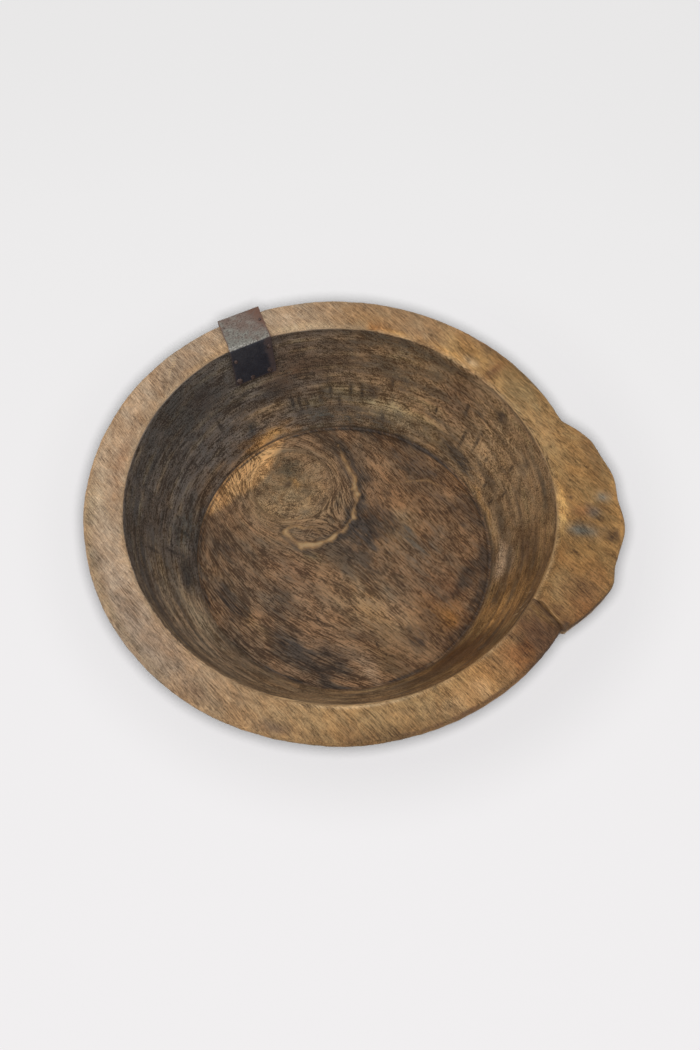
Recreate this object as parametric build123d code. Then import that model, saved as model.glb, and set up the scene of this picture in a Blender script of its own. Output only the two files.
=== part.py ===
"""A round dough bowl carved from one block of wood, with one lug to hold it by.

A strip of sheet iron is folded over a weak place in the rim and held by hand-made tacks. The origin is the
centre of the flat base, +Z is up and the lug points along +X. Lengths are in millimetres, angles in degrees.
"""

from build123d import *

import math
import os

# Bowl: inside
RIM_HEIGHT = 130.0
RIM_INNER_RADIUS = 190.0
INNER_EDGE_RADIUS = 2.5
INNER_BULGE = 6.0  # how far the inside swells past a straight line from floor to rim
FLOOR_THICKNESS = 26.0
FLOOR_RADIUS = 143.0
FLOOR_SHIFT = 7.0  # the floor's centre lies this far from the rim's, towards the lug
WALL_SECTIONS = 5  # circles that the hollow is lofted through

# Bowl: outside
RIM_WIDTH = 36.0  # to the corner that the edge's rounding takes off
OUTER_EDGE_RADIUS = 4.0
OUTER_BULGE = 8.0  # how far the outside swells past a straight line from base to rim
BASE_INSET = 10.0  # how far inside the floor's far edge the base ends
BASE_EDGE_RADIUS = 3.0

# Lug
LUG_LENGTH = 26.6  # past the rim
LUG_HALF_ANGLE = 30.0
LUG_EDGE_THICKNESS = 8.0
LUG_ROOT_THICKNESS = 44.0  # where its underside runs into the wall
LUG_ROOT_OVERLAP = 2.0  # how far the underside goes on into the wall
LUG_EDGE_RADIUS = 3.0
LUG_RISE = 4.0  # its top climbs from the rim's level to this at the stepped end
STEP_INNER_ANGLE = 23.4  # the step crosses the rim on a slant, between these angles
STEP_OUTER_ANGLE = 27.2
STEP_LENGTH = 1.4  # past the rim
# The worn outline, from the plain end to the stepped one: shares of the half angle and of the length
LUG_OUTLINE = (
    (0.88, 0.19),
    (0.74, 0.53),
    (0.58, 0.67),
    (0.40, 0.86),
    (0.25, 0.84),
    (0.00, 1.00),
    (-0.19, 0.84),
    (-0.30, 0.79),
    (-0.43, 0.84),
    (-0.62, 0.56),
)

# Patch over the rim
PATCH_AZIMUTH = 124.5
PATCH_WIDTH = 44.0
PATCH_THICKNESS = 1.0
PATCH_SKEW = 7.0  # the strip crosses the rim on a slant
PATCH_BEND_RADIUS = 1.5
PATCH_CLEARANCE = 0.1
INNER_DROP = 37.0  # how far the inner leg reaches below the rim
OUTER_LEG = 40.0

# Tacks: across the strip, along it from the fold, and head diameter
TACK_LENGTH = 12.0
TACK_SHANK = 2.2
TACK_TIP = 0.8
TACK_HEAD_HEIGHT = 1.5
TACK_CLEARANCE = 0.05
INNER_TACKS = (
    (-18.5, 13.0, 4.6),
    (-19.5, 35.5, 6.6),
    (-5.5, 36.5, 5.0),
    (17.5, 9.5, 5.0),
    (13.0, 35.5, 5.6),
)
OUTER_TACKS = (
    (-11.0, 10.0, 5.2),
    (-12.0, 33.0, 5.6),
    (5.0, 34.0, 4.8),
    (17.0, 17.0, 5.0),
    (18.0, 34.5, 5.4),
)
TOP_TACK = (20.5, 22.0, 3.4)

CUT_MARGIN = 10.0  # how far cutting shapes run past what they cut
DEPTH = RIM_HEIGHT - FLOOR_THICKNESS
RIM_OUTER_RADIUS = RIM_INNER_RADIUS + RIM_WIDTH
BASE_RADIUS = FLOOR_RADIUS + FLOOR_SHIFT - BASE_INSET


def polar(radius, angle):
    """The point at that radius and angle, seen from above."""
    return (radius * math.cos(math.radians(angle)), radius * math.sin(math.radians(angle)))


def outer_wall():
    """The outside of the wall from base to rim, as an arc of radius against height."""
    return SagittaArc((BASE_RADIUS, 0), (RIM_OUTER_RADIUS, RIM_HEIGHT), -OUTER_BULGE)


def hollow_radius(share):
    """The hollow's radius at a share of the way from floor to rim."""
    straight = FLOOR_RADIUS + (RIM_INNER_RADIUS - FLOOR_RADIUS) * share
    return straight + 4 * INNER_BULGE * share * (1 - share)


def hollow_shift(share):
    """How far the hollow's centre lies towards the lug at a share of the way from floor to rim."""
    return FLOOR_SHIFT * (1 - share)


def hollow_reach(share, azimuth):
    """The distance from the bowl's axis to the inside of the wall at an azimuth."""
    along, aside = polar(hollow_shift(share), azimuth)
    return along + math.sqrt(hollow_radius(share) ** 2 - aside**2)


def blank():
    """The bowl's outside, filled."""
    wall = outer_wall()
    foot = wall @ 0
    lip = wall @ 1
    profile = make_face([wall, Polyline(lip, (0, RIM_HEIGHT), (0, 0), foot)])
    rounded = fillet(profile.vertices().sort_by_distance(foot)[0], BASE_EDGE_RADIUS)
    rounded = fillet(rounded.vertices().sort_by_distance(lip)[0], OUTER_EDGE_RADIUS)
    return revolve(Plane.XZ * rounded, Axis.Z)


def hollow():
    """The room inside the bowl, carried on upwards past the rim."""
    top_share = 1 + CUT_MARGIN / DEPTH
    shares = [top_share * i / (WALL_SECTIONS - 1) for i in range(WALL_SECTIONS)]
    circles = [
        Pos(hollow_shift(share), 0, FLOOR_THICKNESS + DEPTH * share) * Circle(hollow_radius(share))
        for share in shares
    ]
    return loft(circles)


def lug_top():
    """The plane of the lug's top, which climbs from the rim at its plain end to the step."""
    turn = math.radians(LUG_HALF_ANGLE)
    step_turn = math.radians((STEP_INNER_ANGLE + STEP_OUTER_ANGLE) / 2)
    step_radius = (RIM_INNER_RADIUS + RIM_OUTER_RADIUS) / 2
    slope = LUG_RISE / (step_radius * math.sin(turn + step_turn))
    return Plane(
        origin=(0, 0, RIM_HEIGHT),
        z_dir=(-slope * math.sin(turn), slope * math.cos(turn), 1),
    )


def wall_radius(height):
    """The radius of the bowl's outside at a height."""
    wall = outer_wall()
    return wall.arc_center.X + math.sqrt(wall.radius**2 - (height - wall.arc_center.Y) ** 2)


def lug_section(radius, length, step_length):
    """The lug seen from above: its worn edge beyond a radius, its plain end and its stepped end."""
    worn_edge = [polar(radius + reach * length, turn * LUG_HALF_ANGLE) for turn, reach in LUG_OUTLINE]
    plain_end = polar(radius - OUTER_EDGE_RADIUS, LUG_HALF_ANGLE)
    step_outer = Vector(polar(radius + step_length, -STEP_OUTER_ANGLE))
    step_inner = Vector(polar(RIM_INNER_RADIUS, -STEP_INNER_ANGLE))
    step_end = step_inner + (step_inner - step_outer).normalized() * CUT_MARGIN
    return make_face(
        [
            Spline(plain_end, *worn_edge, step_outer),
            Polyline(step_outer, step_end, (0, 0), plain_end),
        ]
    )


def lug():
    """The lug: a thin worn edge, an underside that runs back into the wall and a climbing top."""
    root = RIM_HEIGHT - LUG_ROOT_THICKNESS
    edge = RIM_HEIGHT - LUG_EDGE_THICKNESS
    top = RIM_HEIGHT + LUG_RISE + CUT_MARGIN
    rim_section = lug_section(RIM_OUTER_RADIUS, LUG_LENGTH, STEP_LENGTH)
    root_section = lug_section(wall_radius(root) - LUG_ROOT_OVERLAP, 0, 0)
    plate = split(extrude(Pos(0, 0, edge) * rim_section, top - edge), bisect_by=lug_top(), keep=Keep.BOTTOM)
    worn_edges = plate.faces().filter_by(GeomType.EXTRUSION).edges().filter_by(GeomType.LINE, reverse=True)
    plate = fillet(worn_edges.sort_by(Axis.Z)[-1], LUG_EDGE_RADIUS)
    body = plate + loft([Pos(0, 0, root) * root_section, Pos(0, 0, edge) * rim_section], ruled=True)

    inner = RIM_INNER_RADIUS + INNER_EDGE_RADIUS
    bevel = Polyline(
        (0, root),
        (inner, root),
        (inner, RIM_HEIGHT),
        (inner + top - RIM_HEIGHT, top),
        (0, top),
        close=True,
    )
    return body - revolve(Plane.XZ * make_face(bevel), Axis.Z)


def bowl_body(tack_holes):
    """The carved bowl with its hollow, its lug and the holes that the tacks have made."""
    body = blank() - hollow()
    rim = body.faces().sort_by(Axis.Z)[-1]
    body = fillet(rim.inner_wires()[0].edges(), INNER_EDGE_RADIUS)
    return body + lug() - tack_holes


def seat():
    """The line that the patch lies on, as radius and height: leg end, inner fold, outer fold, leg end.

    The inner leg is flat, so its two sides touch the round wall and its middle stands off it. The outer leg
    touches the wall halfway down.
    """
    end_share = 1 - INNER_DROP / DEPTH
    skew = math.radians(PATCH_SKEW)
    shift = (RIM_INNER_RADIUS - hollow_reach(end_share, PATCH_AZIMUTH)) * math.tan(skew)
    half_width = PATCH_WIDTH / 2 / math.cos(skew) + shift

    def inner_radius(share):
        turn = math.degrees(math.asin(half_width / hollow_radius(share)))
        reach = min(hollow_reach(share, PATCH_AZIMUTH + side * turn) for side in (-1, 1))
        return math.sqrt(reach**2 - half_width**2) - PATCH_CLEARANCE

    top = RIM_HEIGHT + PATCH_CLEARANCE
    wall = outer_wall()
    halfway = 1 - OUTER_LEG / 2 / wall.length
    climb = wall % halfway
    touch = wall @ halfway + Vector(climb.Y, -climb.X) * PATCH_CLEARANCE
    return (
        Vector(inner_radius(end_share), RIM_HEIGHT - INNER_DROP),
        Vector(inner_radius(1), top),
        touch + climb * ((top - touch.Y) / climb.Y),
        touch - climb * OUTER_LEG / 2,
    )


def at_patch(piece):
    """Turns a piece made beside the X axis round to the patch's place on the rim."""
    return Rot(0, 0, PATCH_AZIMUTH) * piece


def rim_patch(tack_holes):
    """The folded strip, cut on a slant from a wider one."""
    line = FilletPolyline(*seat(), radius=PATCH_BEND_RADIUS)
    section = make_face(line.offset_2d(PATCH_THICKNESS, side=Side.LEFT, closed=True))
    wide = extrude(Plane.XZ * section, PATCH_WIDTH, both=True)
    length = 2 * (RIM_WIDTH + INNER_DROP + CUT_MARGIN)
    strip = Box(length, PATCH_WIDTH, 2 * (max(INNER_DROP, OUTER_LEG) + CUT_MARGIN))
    folded = wide & (Pos(RIM_INNER_RADIUS, 0, RIM_HEIGHT) * Rot(0, 0, -PATCH_SKEW) * strip)
    return at_patch(folded) - tack_holes


def tack_place(fold, end, outward, across, along):
    """Where a tack's head sits on a flat of the patch, with Z along the tack towards its head."""
    run = (end - fold).normalized()
    face = Vector(-run.Y, run.X) * outward
    spot = fold + run * along + face * PATCH_THICKNESS
    return Plane(origin=(spot.X, -across, spot.Y), x_dir=(0, -1, 0), z_dir=(face.X, 0, face.Y))


def shank(clearance=0.0):
    """A tack's square, tapered shank, or the hole for it."""
    taper = math.degrees(math.atan((TACK_SHANK - TACK_TIP) / 2 / TACK_LENGTH))
    side = TACK_SHANK + 2 * clearance
    return extrude(Rectangle(side, side), TACK_LENGTH + clearance, dir=(0, 0, -1), taper=taper)


def tack(head_diameter):
    """A tack with a low domed head."""
    radius = head_diameter / 2
    dome_radius = (radius**2 + TACK_HEAD_HEIGHT**2) / (2 * TACK_HEAD_HEIGHT)
    dome = RadiusArc((radius, 0), (0, TACK_HEAD_HEIGHT), -dome_radius)
    profile = make_face([dome, Polyline((0, TACK_HEAD_HEIGHT), (0, 0), (radius, 0))])
    return revolve(Plane.XZ * profile, Axis.Z) + shank()


def tacks():
    """Each tack's name with its place and its head's diameter."""
    inner_end, inner_fold, outer_fold, outer_end = seat()
    placed = {"top_tack": (tack_place(inner_fold, outer_fold, 1, *TOP_TACK[:2]), TOP_TACK[2])}
    for number, (across, along, head) in enumerate(INNER_TACKS, start=1):
        placed[f"inner_tack_{number}"] = (tack_place(inner_fold, inner_end, -1, across, along), head)
    for number, (across, along, head) in enumerate(OUTER_TACKS, start=1):
        placed[f"outer_tack_{number}"] = (tack_place(outer_fold, outer_end, 1, across, along), head)
    return placed


def main():
    """Writes each piece to its own file."""
    os.makedirs("parts", exist_ok=True)
    placed = tacks()
    holes = [at_patch(place * shank(TACK_CLEARANCE)) for place, _ in placed.values()]
    pieces = {"bowl_body": bowl_body(holes), "rim_patch": rim_patch(holes)}
    for name, (place, head) in placed.items():
        pieces[name] = at_patch(place * tack(head))
    for name, piece in pieces.items():
        export_step(piece, f"parts/{name}.step")


main()
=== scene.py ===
"""Looks of a worn wooden dough bowl with a strip of sheet iron tacked over its rim.

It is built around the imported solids. Lengths are in millimetres and angles in degrees unless a name says
otherwise, and a mesh is turned into metres when it is made. Azimuth runs from the lug, anticlockwise seen
from above.
"""

import math
from types import SimpleNamespace

import bpy
import numpy as np
from mathutils import Matrix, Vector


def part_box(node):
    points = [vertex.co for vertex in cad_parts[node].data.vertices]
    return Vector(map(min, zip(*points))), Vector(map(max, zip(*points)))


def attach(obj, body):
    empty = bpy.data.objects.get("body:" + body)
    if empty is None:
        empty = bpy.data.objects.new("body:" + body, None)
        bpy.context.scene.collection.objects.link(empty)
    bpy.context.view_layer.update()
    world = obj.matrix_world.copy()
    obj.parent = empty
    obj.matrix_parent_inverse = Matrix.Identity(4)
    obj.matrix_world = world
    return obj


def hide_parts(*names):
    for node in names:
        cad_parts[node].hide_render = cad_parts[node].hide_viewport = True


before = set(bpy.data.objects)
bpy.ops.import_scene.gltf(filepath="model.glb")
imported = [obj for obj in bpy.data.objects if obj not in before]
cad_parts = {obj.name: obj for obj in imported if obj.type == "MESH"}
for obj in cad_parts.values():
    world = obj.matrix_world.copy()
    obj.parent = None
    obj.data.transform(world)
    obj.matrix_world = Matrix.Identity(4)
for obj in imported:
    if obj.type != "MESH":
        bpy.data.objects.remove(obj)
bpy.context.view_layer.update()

MM_PER_M = 1000.0

# Bowl: shape, as in its solid
RIM_HEIGHT = 130.0
INNER_RADIUS = 190.0
INNER_EDGE_RADIUS = 2.5
INNER_EDGE_LEAN = 0.55  # how far the wall leans back over the height of the edge's rounding
INNER_BULGE = 6.0
FLOOR_HEIGHT = 26.0
FLOOR_RADIUS = 143.0
FLOOR_SHIFT = 7.0
OUTER_RADIUS = 226.0
OUTER_EDGE_RADIUS = 4.0
OUTER_BULGE = 8.0
BASE_RADIUS = 140.0
BASE_EDGE_RADIUS = 3.0
DEPTH = RIM_HEIGHT - FLOOR_HEIGHT
WALL_LENGTH = math.hypot(DEPTH, INNER_RADIUS - FLOOR_RADIUS)
RIM_REACH = -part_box("bowl_body")[0].x * MM_PER_M

# Lug: shape, as in its solid
LUG_HALF_ANGLE = 30.0
LUG_RISE = 4.0
LUG_ROOT_THICKNESS = 44.0
LUG_EDGE_THICKNESS = 8.0
LUG_ROOT_OVERLAP = 2.0
LUG_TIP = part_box("bowl_body")[1].x * MM_PER_M
LUG_LENGTH = LUG_TIP - OUTER_RADIUS
STEP_INNER_ANGLE = 23.4
STEP_OUTER_ANGLE = 27.2
STEP_RADIUS = 227.4
STEP_SPREAD = 15.0  # columns this far from the step lean with it
STEP_GAP = 0.09  # half the angle that the step's face takes up
# Shares of the half angle and of the length
LUG_OUTLINE = (
    (1.00, -0.15),
    (0.88, 0.19),
    (0.74, 0.53),
    (0.58, 0.67),
    (0.40, 0.86),
    (0.25, 0.84),
    (0.00, 1.00),
    (-0.19, 0.84),
    (-0.30, 0.79),
    (-0.43, 0.84),
    (-0.62, 0.56),
    (-0.907, 0.053),
)

# Bowl: mesh
GRID = 152
COLUMNS = 4 * GRID
EDGE_MARGIN = 3.0  # width of the rings between the floor's grid and the wall
EDGE_INSETS = (2.0, 1.0, 0.0)  # how far inside the wall's foot each of those rings ends
WALL_RINGS = 46
WALL_START = 0.012  # share of the wall's height at its lowest ring
INNER_EDGE_BENDS = (22, 44, 66, 86)
RIM_RINGS = 17
RIM_START = 0.4  # from the end of the inner edge's rounding to the first ring of the rim's top
OUTER_EDGE_BENDS = (74, 58, 42, 28, 14, 0)
OUTSIDE_RINGS = 35
BASE_SHARES = (0.985, 0.85, 0.6, 0.3)  # of the foot's radius, at the rings under it
SMOOTH_ANGLE = 42.0
LINE_LIMIT = 20.0  # distances from carved lines are kept up to this
WEAR_DOWN = 34.0  # how far down the wall the wear of the rim's inner edge reaches
WEAR_ACROSS = 14.0  # how far over the rim it reaches
GROOVE_INSET = 1.5  # from the wall's foot to the middle of the groove round the floor
GROOVE_WIDTH = 1.4
FLOOR, WALL, RIM, OUTSIDE, BASE = range(5)

# Wood: run of the fibres, and the knot that they part round
FIBRE_AZIMUTH = -37.0
KNOT = (-55.0, 64.0)
KNOT_RADIUS = 40.0
KNOT_RING_WIDTH = 5.2
FIBRE_BEND = 520.0  # radius that the fibres curve at, inside the bowl
RIM_SLOPE = 0.07  # how far they slant on the rim, where they are straight
FLOOR_CURVE = 0.0022  # how much they curve in the lower left of the floor, per millimetre
CROSS_ANGLE = 72.0  # of the scratches that cross the fibres

# Patch and tacks: shape, as in their solids
PATCH_AZIMUTH = 124.5
PATCH_WIDTH = 44.0
PATCH_THICKNESS = 1.0
PATCH_SKEW = 7.0
# Radius and height at the ends and folds of its seat, from the inner leg to the outer one
PATCH_SEAT = ((175.4, 93.0), (188.41, 130.1), (226.73, 130.1), (209.82, 93.42))
PATCH_STEP = 0.75
SEAT_GAP = 0.1  # from the wood to the seat
STRIP_RAGGED = 0.5
STRIP_TRIM = 0.6  # kept back at both sides, so that the ragged edge stays inside the solid's
STRIP_DENT = 0.16
CORNER_LIFT = 0.5
CORNER_REACH = 9.0
PATCH_MARGIN = 3.0  # how far round the patch the wood is kept low
FOLD_ROUNDING = (1, 2, 3, 2, 1)
TACK_LENGTH = 12.0
TACK_SHANK = 2.2
TACK_TIP = 0.8
TACK_HEAD_HEIGHT = 1.5
TACK_SEGMENTS = 28
# Shares of the radius and of the height, from the underside to the crown
TACK_PROFILE = ((0.93, 0.0), (1.0, 0.22), (0.96, 0.5), (0.8, 0.8), (0.55, 0.96), (0.28, 1.0))
TACK_SEEDS = range(70, 147, 7)
TACK_CROWN = 0.93  # share of the head's height that its crown has where it isn't dented
TACK_DENT = 0.12
TACK_UNEVEN = 0.06  # how much the head's outline wavers
TACK_SPACING = 3.7  # sets the tacks' rust apart, times their seeds
SHANK_ROOT = 0.3  # how far the shank reaches into the head
SHANK_SHORT = 0.2  # how much is left off its tip
SHANK_FIT = 0.97  # share of its solid's thickness
METAL_SMOOTH_ANGLE = 50.0
# Place across the strip, place along it from the fold, and the head's diameter
INNER_TACKS = (
    (-18.5, 13.0, 4.6),
    (-19.5, 35.5, 6.6),
    (-5.5, 36.5, 5.0),
    (17.5, 9.5, 5.0),
    (13.0, 35.5, 5.6),
)
OUTER_TACKS = (
    (-11.0, 10.0, 5.2),
    (-12.0, 33.0, 5.6),
    (5.0, 34.0, 4.8),
    (17.0, 17.0, 5.0),
    (18.0, 34.5, 5.4),
)
TOP_TACK = (20.5, 22.0, 3.4)

# Camera: where the photograph was taken from, and how it was framed
CAMERA_AZIMUTH = 6.2
CAMERA_ELEVATION = 60.06
CAMERA_DISTANCE = 855.0
CAMERA_PAN = -0.70
CAMERA_TILT = -1.76
CAMERA_ROLL = 1.443
LENS = 33.12
SENSOR = 36.0


# Colours

def colour(red, green, blue):
    """A colour written as on a screen, from 0 to 255, as the light that it reflects."""
    share = np.array((red, green, blue)) / 255
    return np.where(share <= 0.04045, share / 12.92, ((share + 0.055) / 1.055) ** 2.4)


TAN = colour(171, 143, 115)
PALE = colour(196, 166, 128)
OCHRE = colour(150, 118, 80)
HONEY = colour(186, 138, 80)
UMBER = colour(126, 99, 72)
ASH = colour(99, 90, 83)
BROWN = colour(92, 66, 46)
OLIVE = colour(132, 113, 78)
MOSS = colour(66, 62, 50)
SMOKE = colour(85, 71, 56)
SOOT = colour(51, 43, 38)
NIGHT = colour(44, 43, 43)
SLATE = colour(94, 102, 98)
RUSSET = colour(134, 84, 52)
IRON = colour(130, 128, 120)
BROWN_IRON = colour(122, 104, 94)
# the legs' iron, darker than the top's: painted shade and dark reflection
BLUE_IRON = colour(44, 46, 56)
GREY_IRON = colour(56, 57, 64)
RUST = colour(110, 76, 60)
DULL_RUST = colour(76, 60, 56)
DARK_RUST = colour(58, 42, 37)
# a painted glint
GLINT = colour(206, 202, 196)


# Noise

def lattice(cells, seed):
    """A repeatable value from 0 to 1 for each whole-numbered point."""
    x, y, z = cells.T
    mixed = (x * 374761393 + y * 668265263 + z * 1440662683 + seed * 362437) & 0xFFFFFFFF
    mixed = ((mixed ^ (mixed >> 13)) * 1274126177) & 0xFFFFFFFF
    return ((mixed ^ (mixed >> 16)) & 0xFFFF) / 65535.0


def noise(points, seed, octaves=1):
    """Smooth uneven values from -1 to 1; one unit of the points is about one bump."""
    total = np.zeros(len(points))
    weight = 1.0
    for octave in range(octaves):
        scaled = points * 2.0**octave
        cells = np.floor(scaled).astype(np.int64)
        near = scaled - cells
        near = near * near * (3 - 2 * near)
        for corner in np.ndindex(2, 2, 2):
            share = np.prod(np.where(corner, near, 1 - near), axis=1)
            total += weight * share * (2 * lattice(cells + corner, seed + octave) - 1)
        weight /= 2
    return total / (2 - 2 * weight)


def stretched(sizes, *coordinates):
    """Points whose unit is the given size along each coordinate."""
    columns = [c / s for c, s in zip(coordinates, sizes)]
    while len(columns) < 3:
        columns.append(np.zeros_like(columns[0]))
    return np.column_stack(columns)


def bumps(sizes, coordinates, seed, octaves=1):
    """Noise whose bumps have the given size along each coordinate."""
    return noise(stretched(sizes, *coordinates), seed, octaves)


# Curves and masks

def ease(value):
    """A smooth step from 0 to 1 as the value goes from 0 to 1."""
    value = np.clip(value, 0, 1)
    return value * value * (3 - 2 * value)


def turn_from(azimuth, centre):
    """The signed angle from a centre azimuth, the short way round."""
    return (azimuth - centre + 180) % 360 - 180


def sector(p, centre, spread, level):
    """A soft mask round an azimuth: 1 where the level less the angle over the spread is 1 or more."""
    return ease(level - np.abs(turn_from(p.azimuth, centre)) / spread)


def smooth_curve(at, knots):
    """A smooth curve through (place, value) knots, flat past both ends."""
    places, values = np.array(sorted(knots)).T
    slopes = np.gradient(values, places)
    at = np.clip(at, places[0], places[-1])
    i = np.clip(np.searchsorted(places, at) - 1, 0, len(places) - 2)
    run = places[i + 1] - places[i]
    t = (at - places[i]) / run
    rise = values[i] * (1 + 2 * t) * (1 - t) ** 2 + values[i + 1] * t * t * (3 - 2 * t)
    return rise + run * (slopes[i] * t * (1 - t) ** 2 - slopes[i + 1] * t * t * (1 - t))


def line_distance(x, y, line):
    """How far each point of the plane lies from a broken line."""
    best = np.full(len(x), np.inf)
    for (ax, ay), (bx, by) in zip(line[:-1], line[1:]):
        dx = bx - ax
        dy = by - ay
        share = np.clip(((x - ax) * dx + (y - ay) * dy) / (dx * dx + dy * dy), 0, 1)
        best = np.minimum(best, np.hypot(x - ax - share * dx, y - ay - share * dy))
    return best


def bell(distance, width):
    """A soft band: 1 where the distance is 0, fading over the width."""
    return np.exp(-((distance / width) ** 2))


def spot(across, along):
    """A soft round mask from offsets in units of its half sizes."""
    return np.exp(-(across * across + along * along))


def coat(p, paint):
    """A tint that is one paint at every point."""
    return np.tile(paint, (len(p.x), 1))


def stain(tint, mask, paint):
    """Lays a paint over the tint where the mask is above 0."""
    tint += np.clip(mask, 0, 1)[:, None] * (paint - tint)


def soil(p, mask, paint):
    """Adds grime and painted shade of a dark paint where the mask is above 0, which the material breaks up
    along the fibres.
    """
    mask = np.clip(mask, 0, 1)
    stain(p.soil, mask / (p.dirt + mask + 1e-6), paint)
    p.dirt += mask * (1 - p.dirt)


# Bowl: mesh

def hollow_radius(share):
    """The hollow's radius at a share of the way from floor to rim."""
    return FLOOR_RADIUS + (INNER_RADIUS - FLOOR_RADIUS) * share + 4 * INNER_BULGE * share * (1 - share)


def outside_radius(height):
    """The radius of the bowl's outside without its lug: an arc, rounded off at the base."""
    run = OUTER_RADIUS - BASE_RADIUS
    chord = math.hypot(run, RIM_HEIGHT)
    arc = (chord**2 / 4 + OUTER_BULGE**2) / (2 * OUTER_BULGE)
    back = (arc - OUTER_BULGE) / chord
    centre = (BASE_RADIUS + OUTER_RADIUS) / 2 - RIM_HEIGHT * back
    level = RIM_HEIGHT / 2 + run * back
    foot = np.clip(BASE_EDGE_RADIUS - height, 0, BASE_EDGE_RADIUS)
    rounding = BASE_EDGE_RADIUS - np.sqrt(BASE_EDGE_RADIUS**2 - foot**2)
    return np.minimum(centre + np.sqrt(arc**2 - (height - level) ** 2) - rounding, RIM_REACH)


def step_crossing(radius):
    """How far along the lug's step a radius lies: 0 at its inner end, 1 at its outer end."""
    return np.clip((radius - INNER_RADIUS) / (STEP_RADIUS - INNER_RADIUS), 0, 1)


def within_lug(columns, azimuth):
    """Where the rim carries the lug."""
    return (columns > -STEP_INNER_ANGLE) & (azimuth < LUG_HALF_ANGLE)


def leaning(columns, radius):
    """The columns' azimuths at a radius: near the lug's step they lean with it and crowd up to it."""
    offset = columns + STEP_INNER_ANGLE
    beside = offset >= 0
    nearest = np.where(beside, offset, np.inf).min(), np.where(beside, -np.inf, offset).max()
    crowd = np.where(offset == nearest[0], STEP_GAP - nearest[0], 0.0)
    crowd += np.where(offset == nearest[1], -STEP_GAP - nearest[1], 0.0)
    near_step = ease(1 - np.abs(offset) / STEP_SPREAD)
    lean = (STEP_INNER_ANGLE - STEP_OUTER_ANGLE) * step_crossing(radius) * near_step
    return columns + lean + crowd * np.clip((radius - INNER_RADIUS) / INNER_EDGE_RADIUS + 1, 0, 1)


def lug_rise(columns, azimuth, radius):
    """How far the lug's top stands above the rim."""
    middle = math.radians(LUG_HALF_ANGLE + (STEP_INNER_ANGLE + STEP_OUTER_ANGLE) / 2)
    slope = LUG_RISE / ((INNER_RADIUS + OUTER_RADIUS) / 2 * math.sin(middle))
    climb = slope * radius * np.sin(np.radians(LUG_HALF_ANGLE - azimuth))
    bevel = np.clip(radius - INNER_RADIUS - INNER_EDGE_RADIUS, 0, None)
    return np.where(within_lug(columns, azimuth), np.minimum(climb, bevel), 0.0)


def lug_reach(columns, azimuth):
    """The radius of the rim's outer edge, with the lug's worn outline."""
    knots = [(turn * LUG_HALF_ANGLE, OUTER_RADIUS + reach * LUG_LENGTH) for turn, reach in LUG_OUTLINE]
    worn = np.maximum(smooth_curve(azimuth, knots), RIM_REACH)
    return np.where(within_lug(columns, azimuth), worn, RIM_REACH)


def under_lug(height, edge):
    """The radius of the lug's sloping underside at a height, from its root on the bowl to its edge."""
    root = outside_radius(RIM_HEIGHT - LUG_ROOT_THICKNESS) - LUG_ROOT_OVERLAP
    climb = (height - RIM_HEIGHT + LUG_ROOT_THICKNESS) / (LUG_ROOT_THICKNESS - LUG_EDGE_THICKNESS)
    return np.where(climb > 0, root + (edge - root) * np.minimum(climb, 1), 0.0)


def bowl_rings(columns):
    """Each ring's zone, radius, height and shift, from the floor's edge over the rim to the base."""
    rings = []
    for inset in EDGE_INSETS:
        rings.append((FLOOR, FLOOR_RADIUS - inset, FLOOR_HEIGHT, FLOOR_SHIFT))
    for share in np.linspace(WALL_START, 1 - INNER_EDGE_RADIUS / DEPTH, WALL_RINGS):
        rings.append((WALL, hollow_radius(share), FLOOR_HEIGHT + DEPTH * share, FLOOR_SHIFT * (1 - share)))
    for bend in np.radians(INNER_EDGE_BENDS):
        back = INNER_EDGE_LEAN * (1 - math.sin(bend))
        radius = INNER_RADIUS - back + INNER_EDGE_RADIUS * (1 - math.cos(bend))
        rings.append((RIM, radius, RIM_HEIGHT - INNER_EDGE_RADIUS * (1 - math.sin(bend)), 0.0))

    end_azimuth = leaning(columns, LUG_TIP)
    edge = lug_reach(columns, end_azimuth)
    inner_end = INNER_RADIUS + INNER_EDGE_RADIUS + RIM_START
    outer_end = edge - OUTER_EDGE_RADIUS
    for share in np.linspace(0, 1, RIM_RINGS):
        radius = inner_end + (outer_end - inner_end) * share
        top = RIM_HEIGHT + lug_rise(columns, leaning(columns, radius), radius)
        rings.append((RIM, radius, top, 0.0))
    shoulder = top - OUTER_EDGE_RADIUS
    for bend in np.radians(OUTER_EDGE_BENDS):
        radius = outer_end + OUTER_EDGE_RADIUS * math.cos(bend)
        rings.append((RIM, radius, shoulder + OUTER_EDGE_RADIUS * math.sin(bend), 0.0))
    on_lug = edge > RIM_REACH
    for share in np.linspace(0, 1, OUTSIDE_RINGS + 1)[1:]:
        height = shoulder * (1 - share)
        plain = outside_radius(height)
        lug = np.maximum(plain, under_lug(height, edge))
        rings.append((OUTSIDE, np.where(on_lug, lug, plain), height, 0.0))
    foot = outside_radius(np.zeros(1))[0]
    for share in BASE_SHARES:
        rings.append((BASE, foot * share, 0.0, 0.0))
    return rings


def disc_grid():
    """A square grid bent into a disc of radius 1, and its edge points in order of azimuth."""
    side = np.linspace(-1, 1, GRID + 1)
    a, b = (part.ravel() for part in np.meshgrid(side, side, indexing="ij"))
    steep = np.abs(a) >= np.abs(b)
    radius = np.where(steep, a, b)
    whole = np.where(radius == 0, 1.0, radius)
    angle = math.pi / 4 * np.where(steep, b / whole, 2 - a / whole)
    x = radius * np.cos(angle)
    y = radius * np.sin(angle)
    edge = np.flatnonzero(np.maximum(np.abs(a), np.abs(b)) == 1)
    half_column = 180 / COLUMNS
    azimuth = (np.degrees(np.arctan2(y[edge], x[edge])) + 180 + half_column) % 360
    return x, y, edge[np.argsort(azimuth)]


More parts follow.
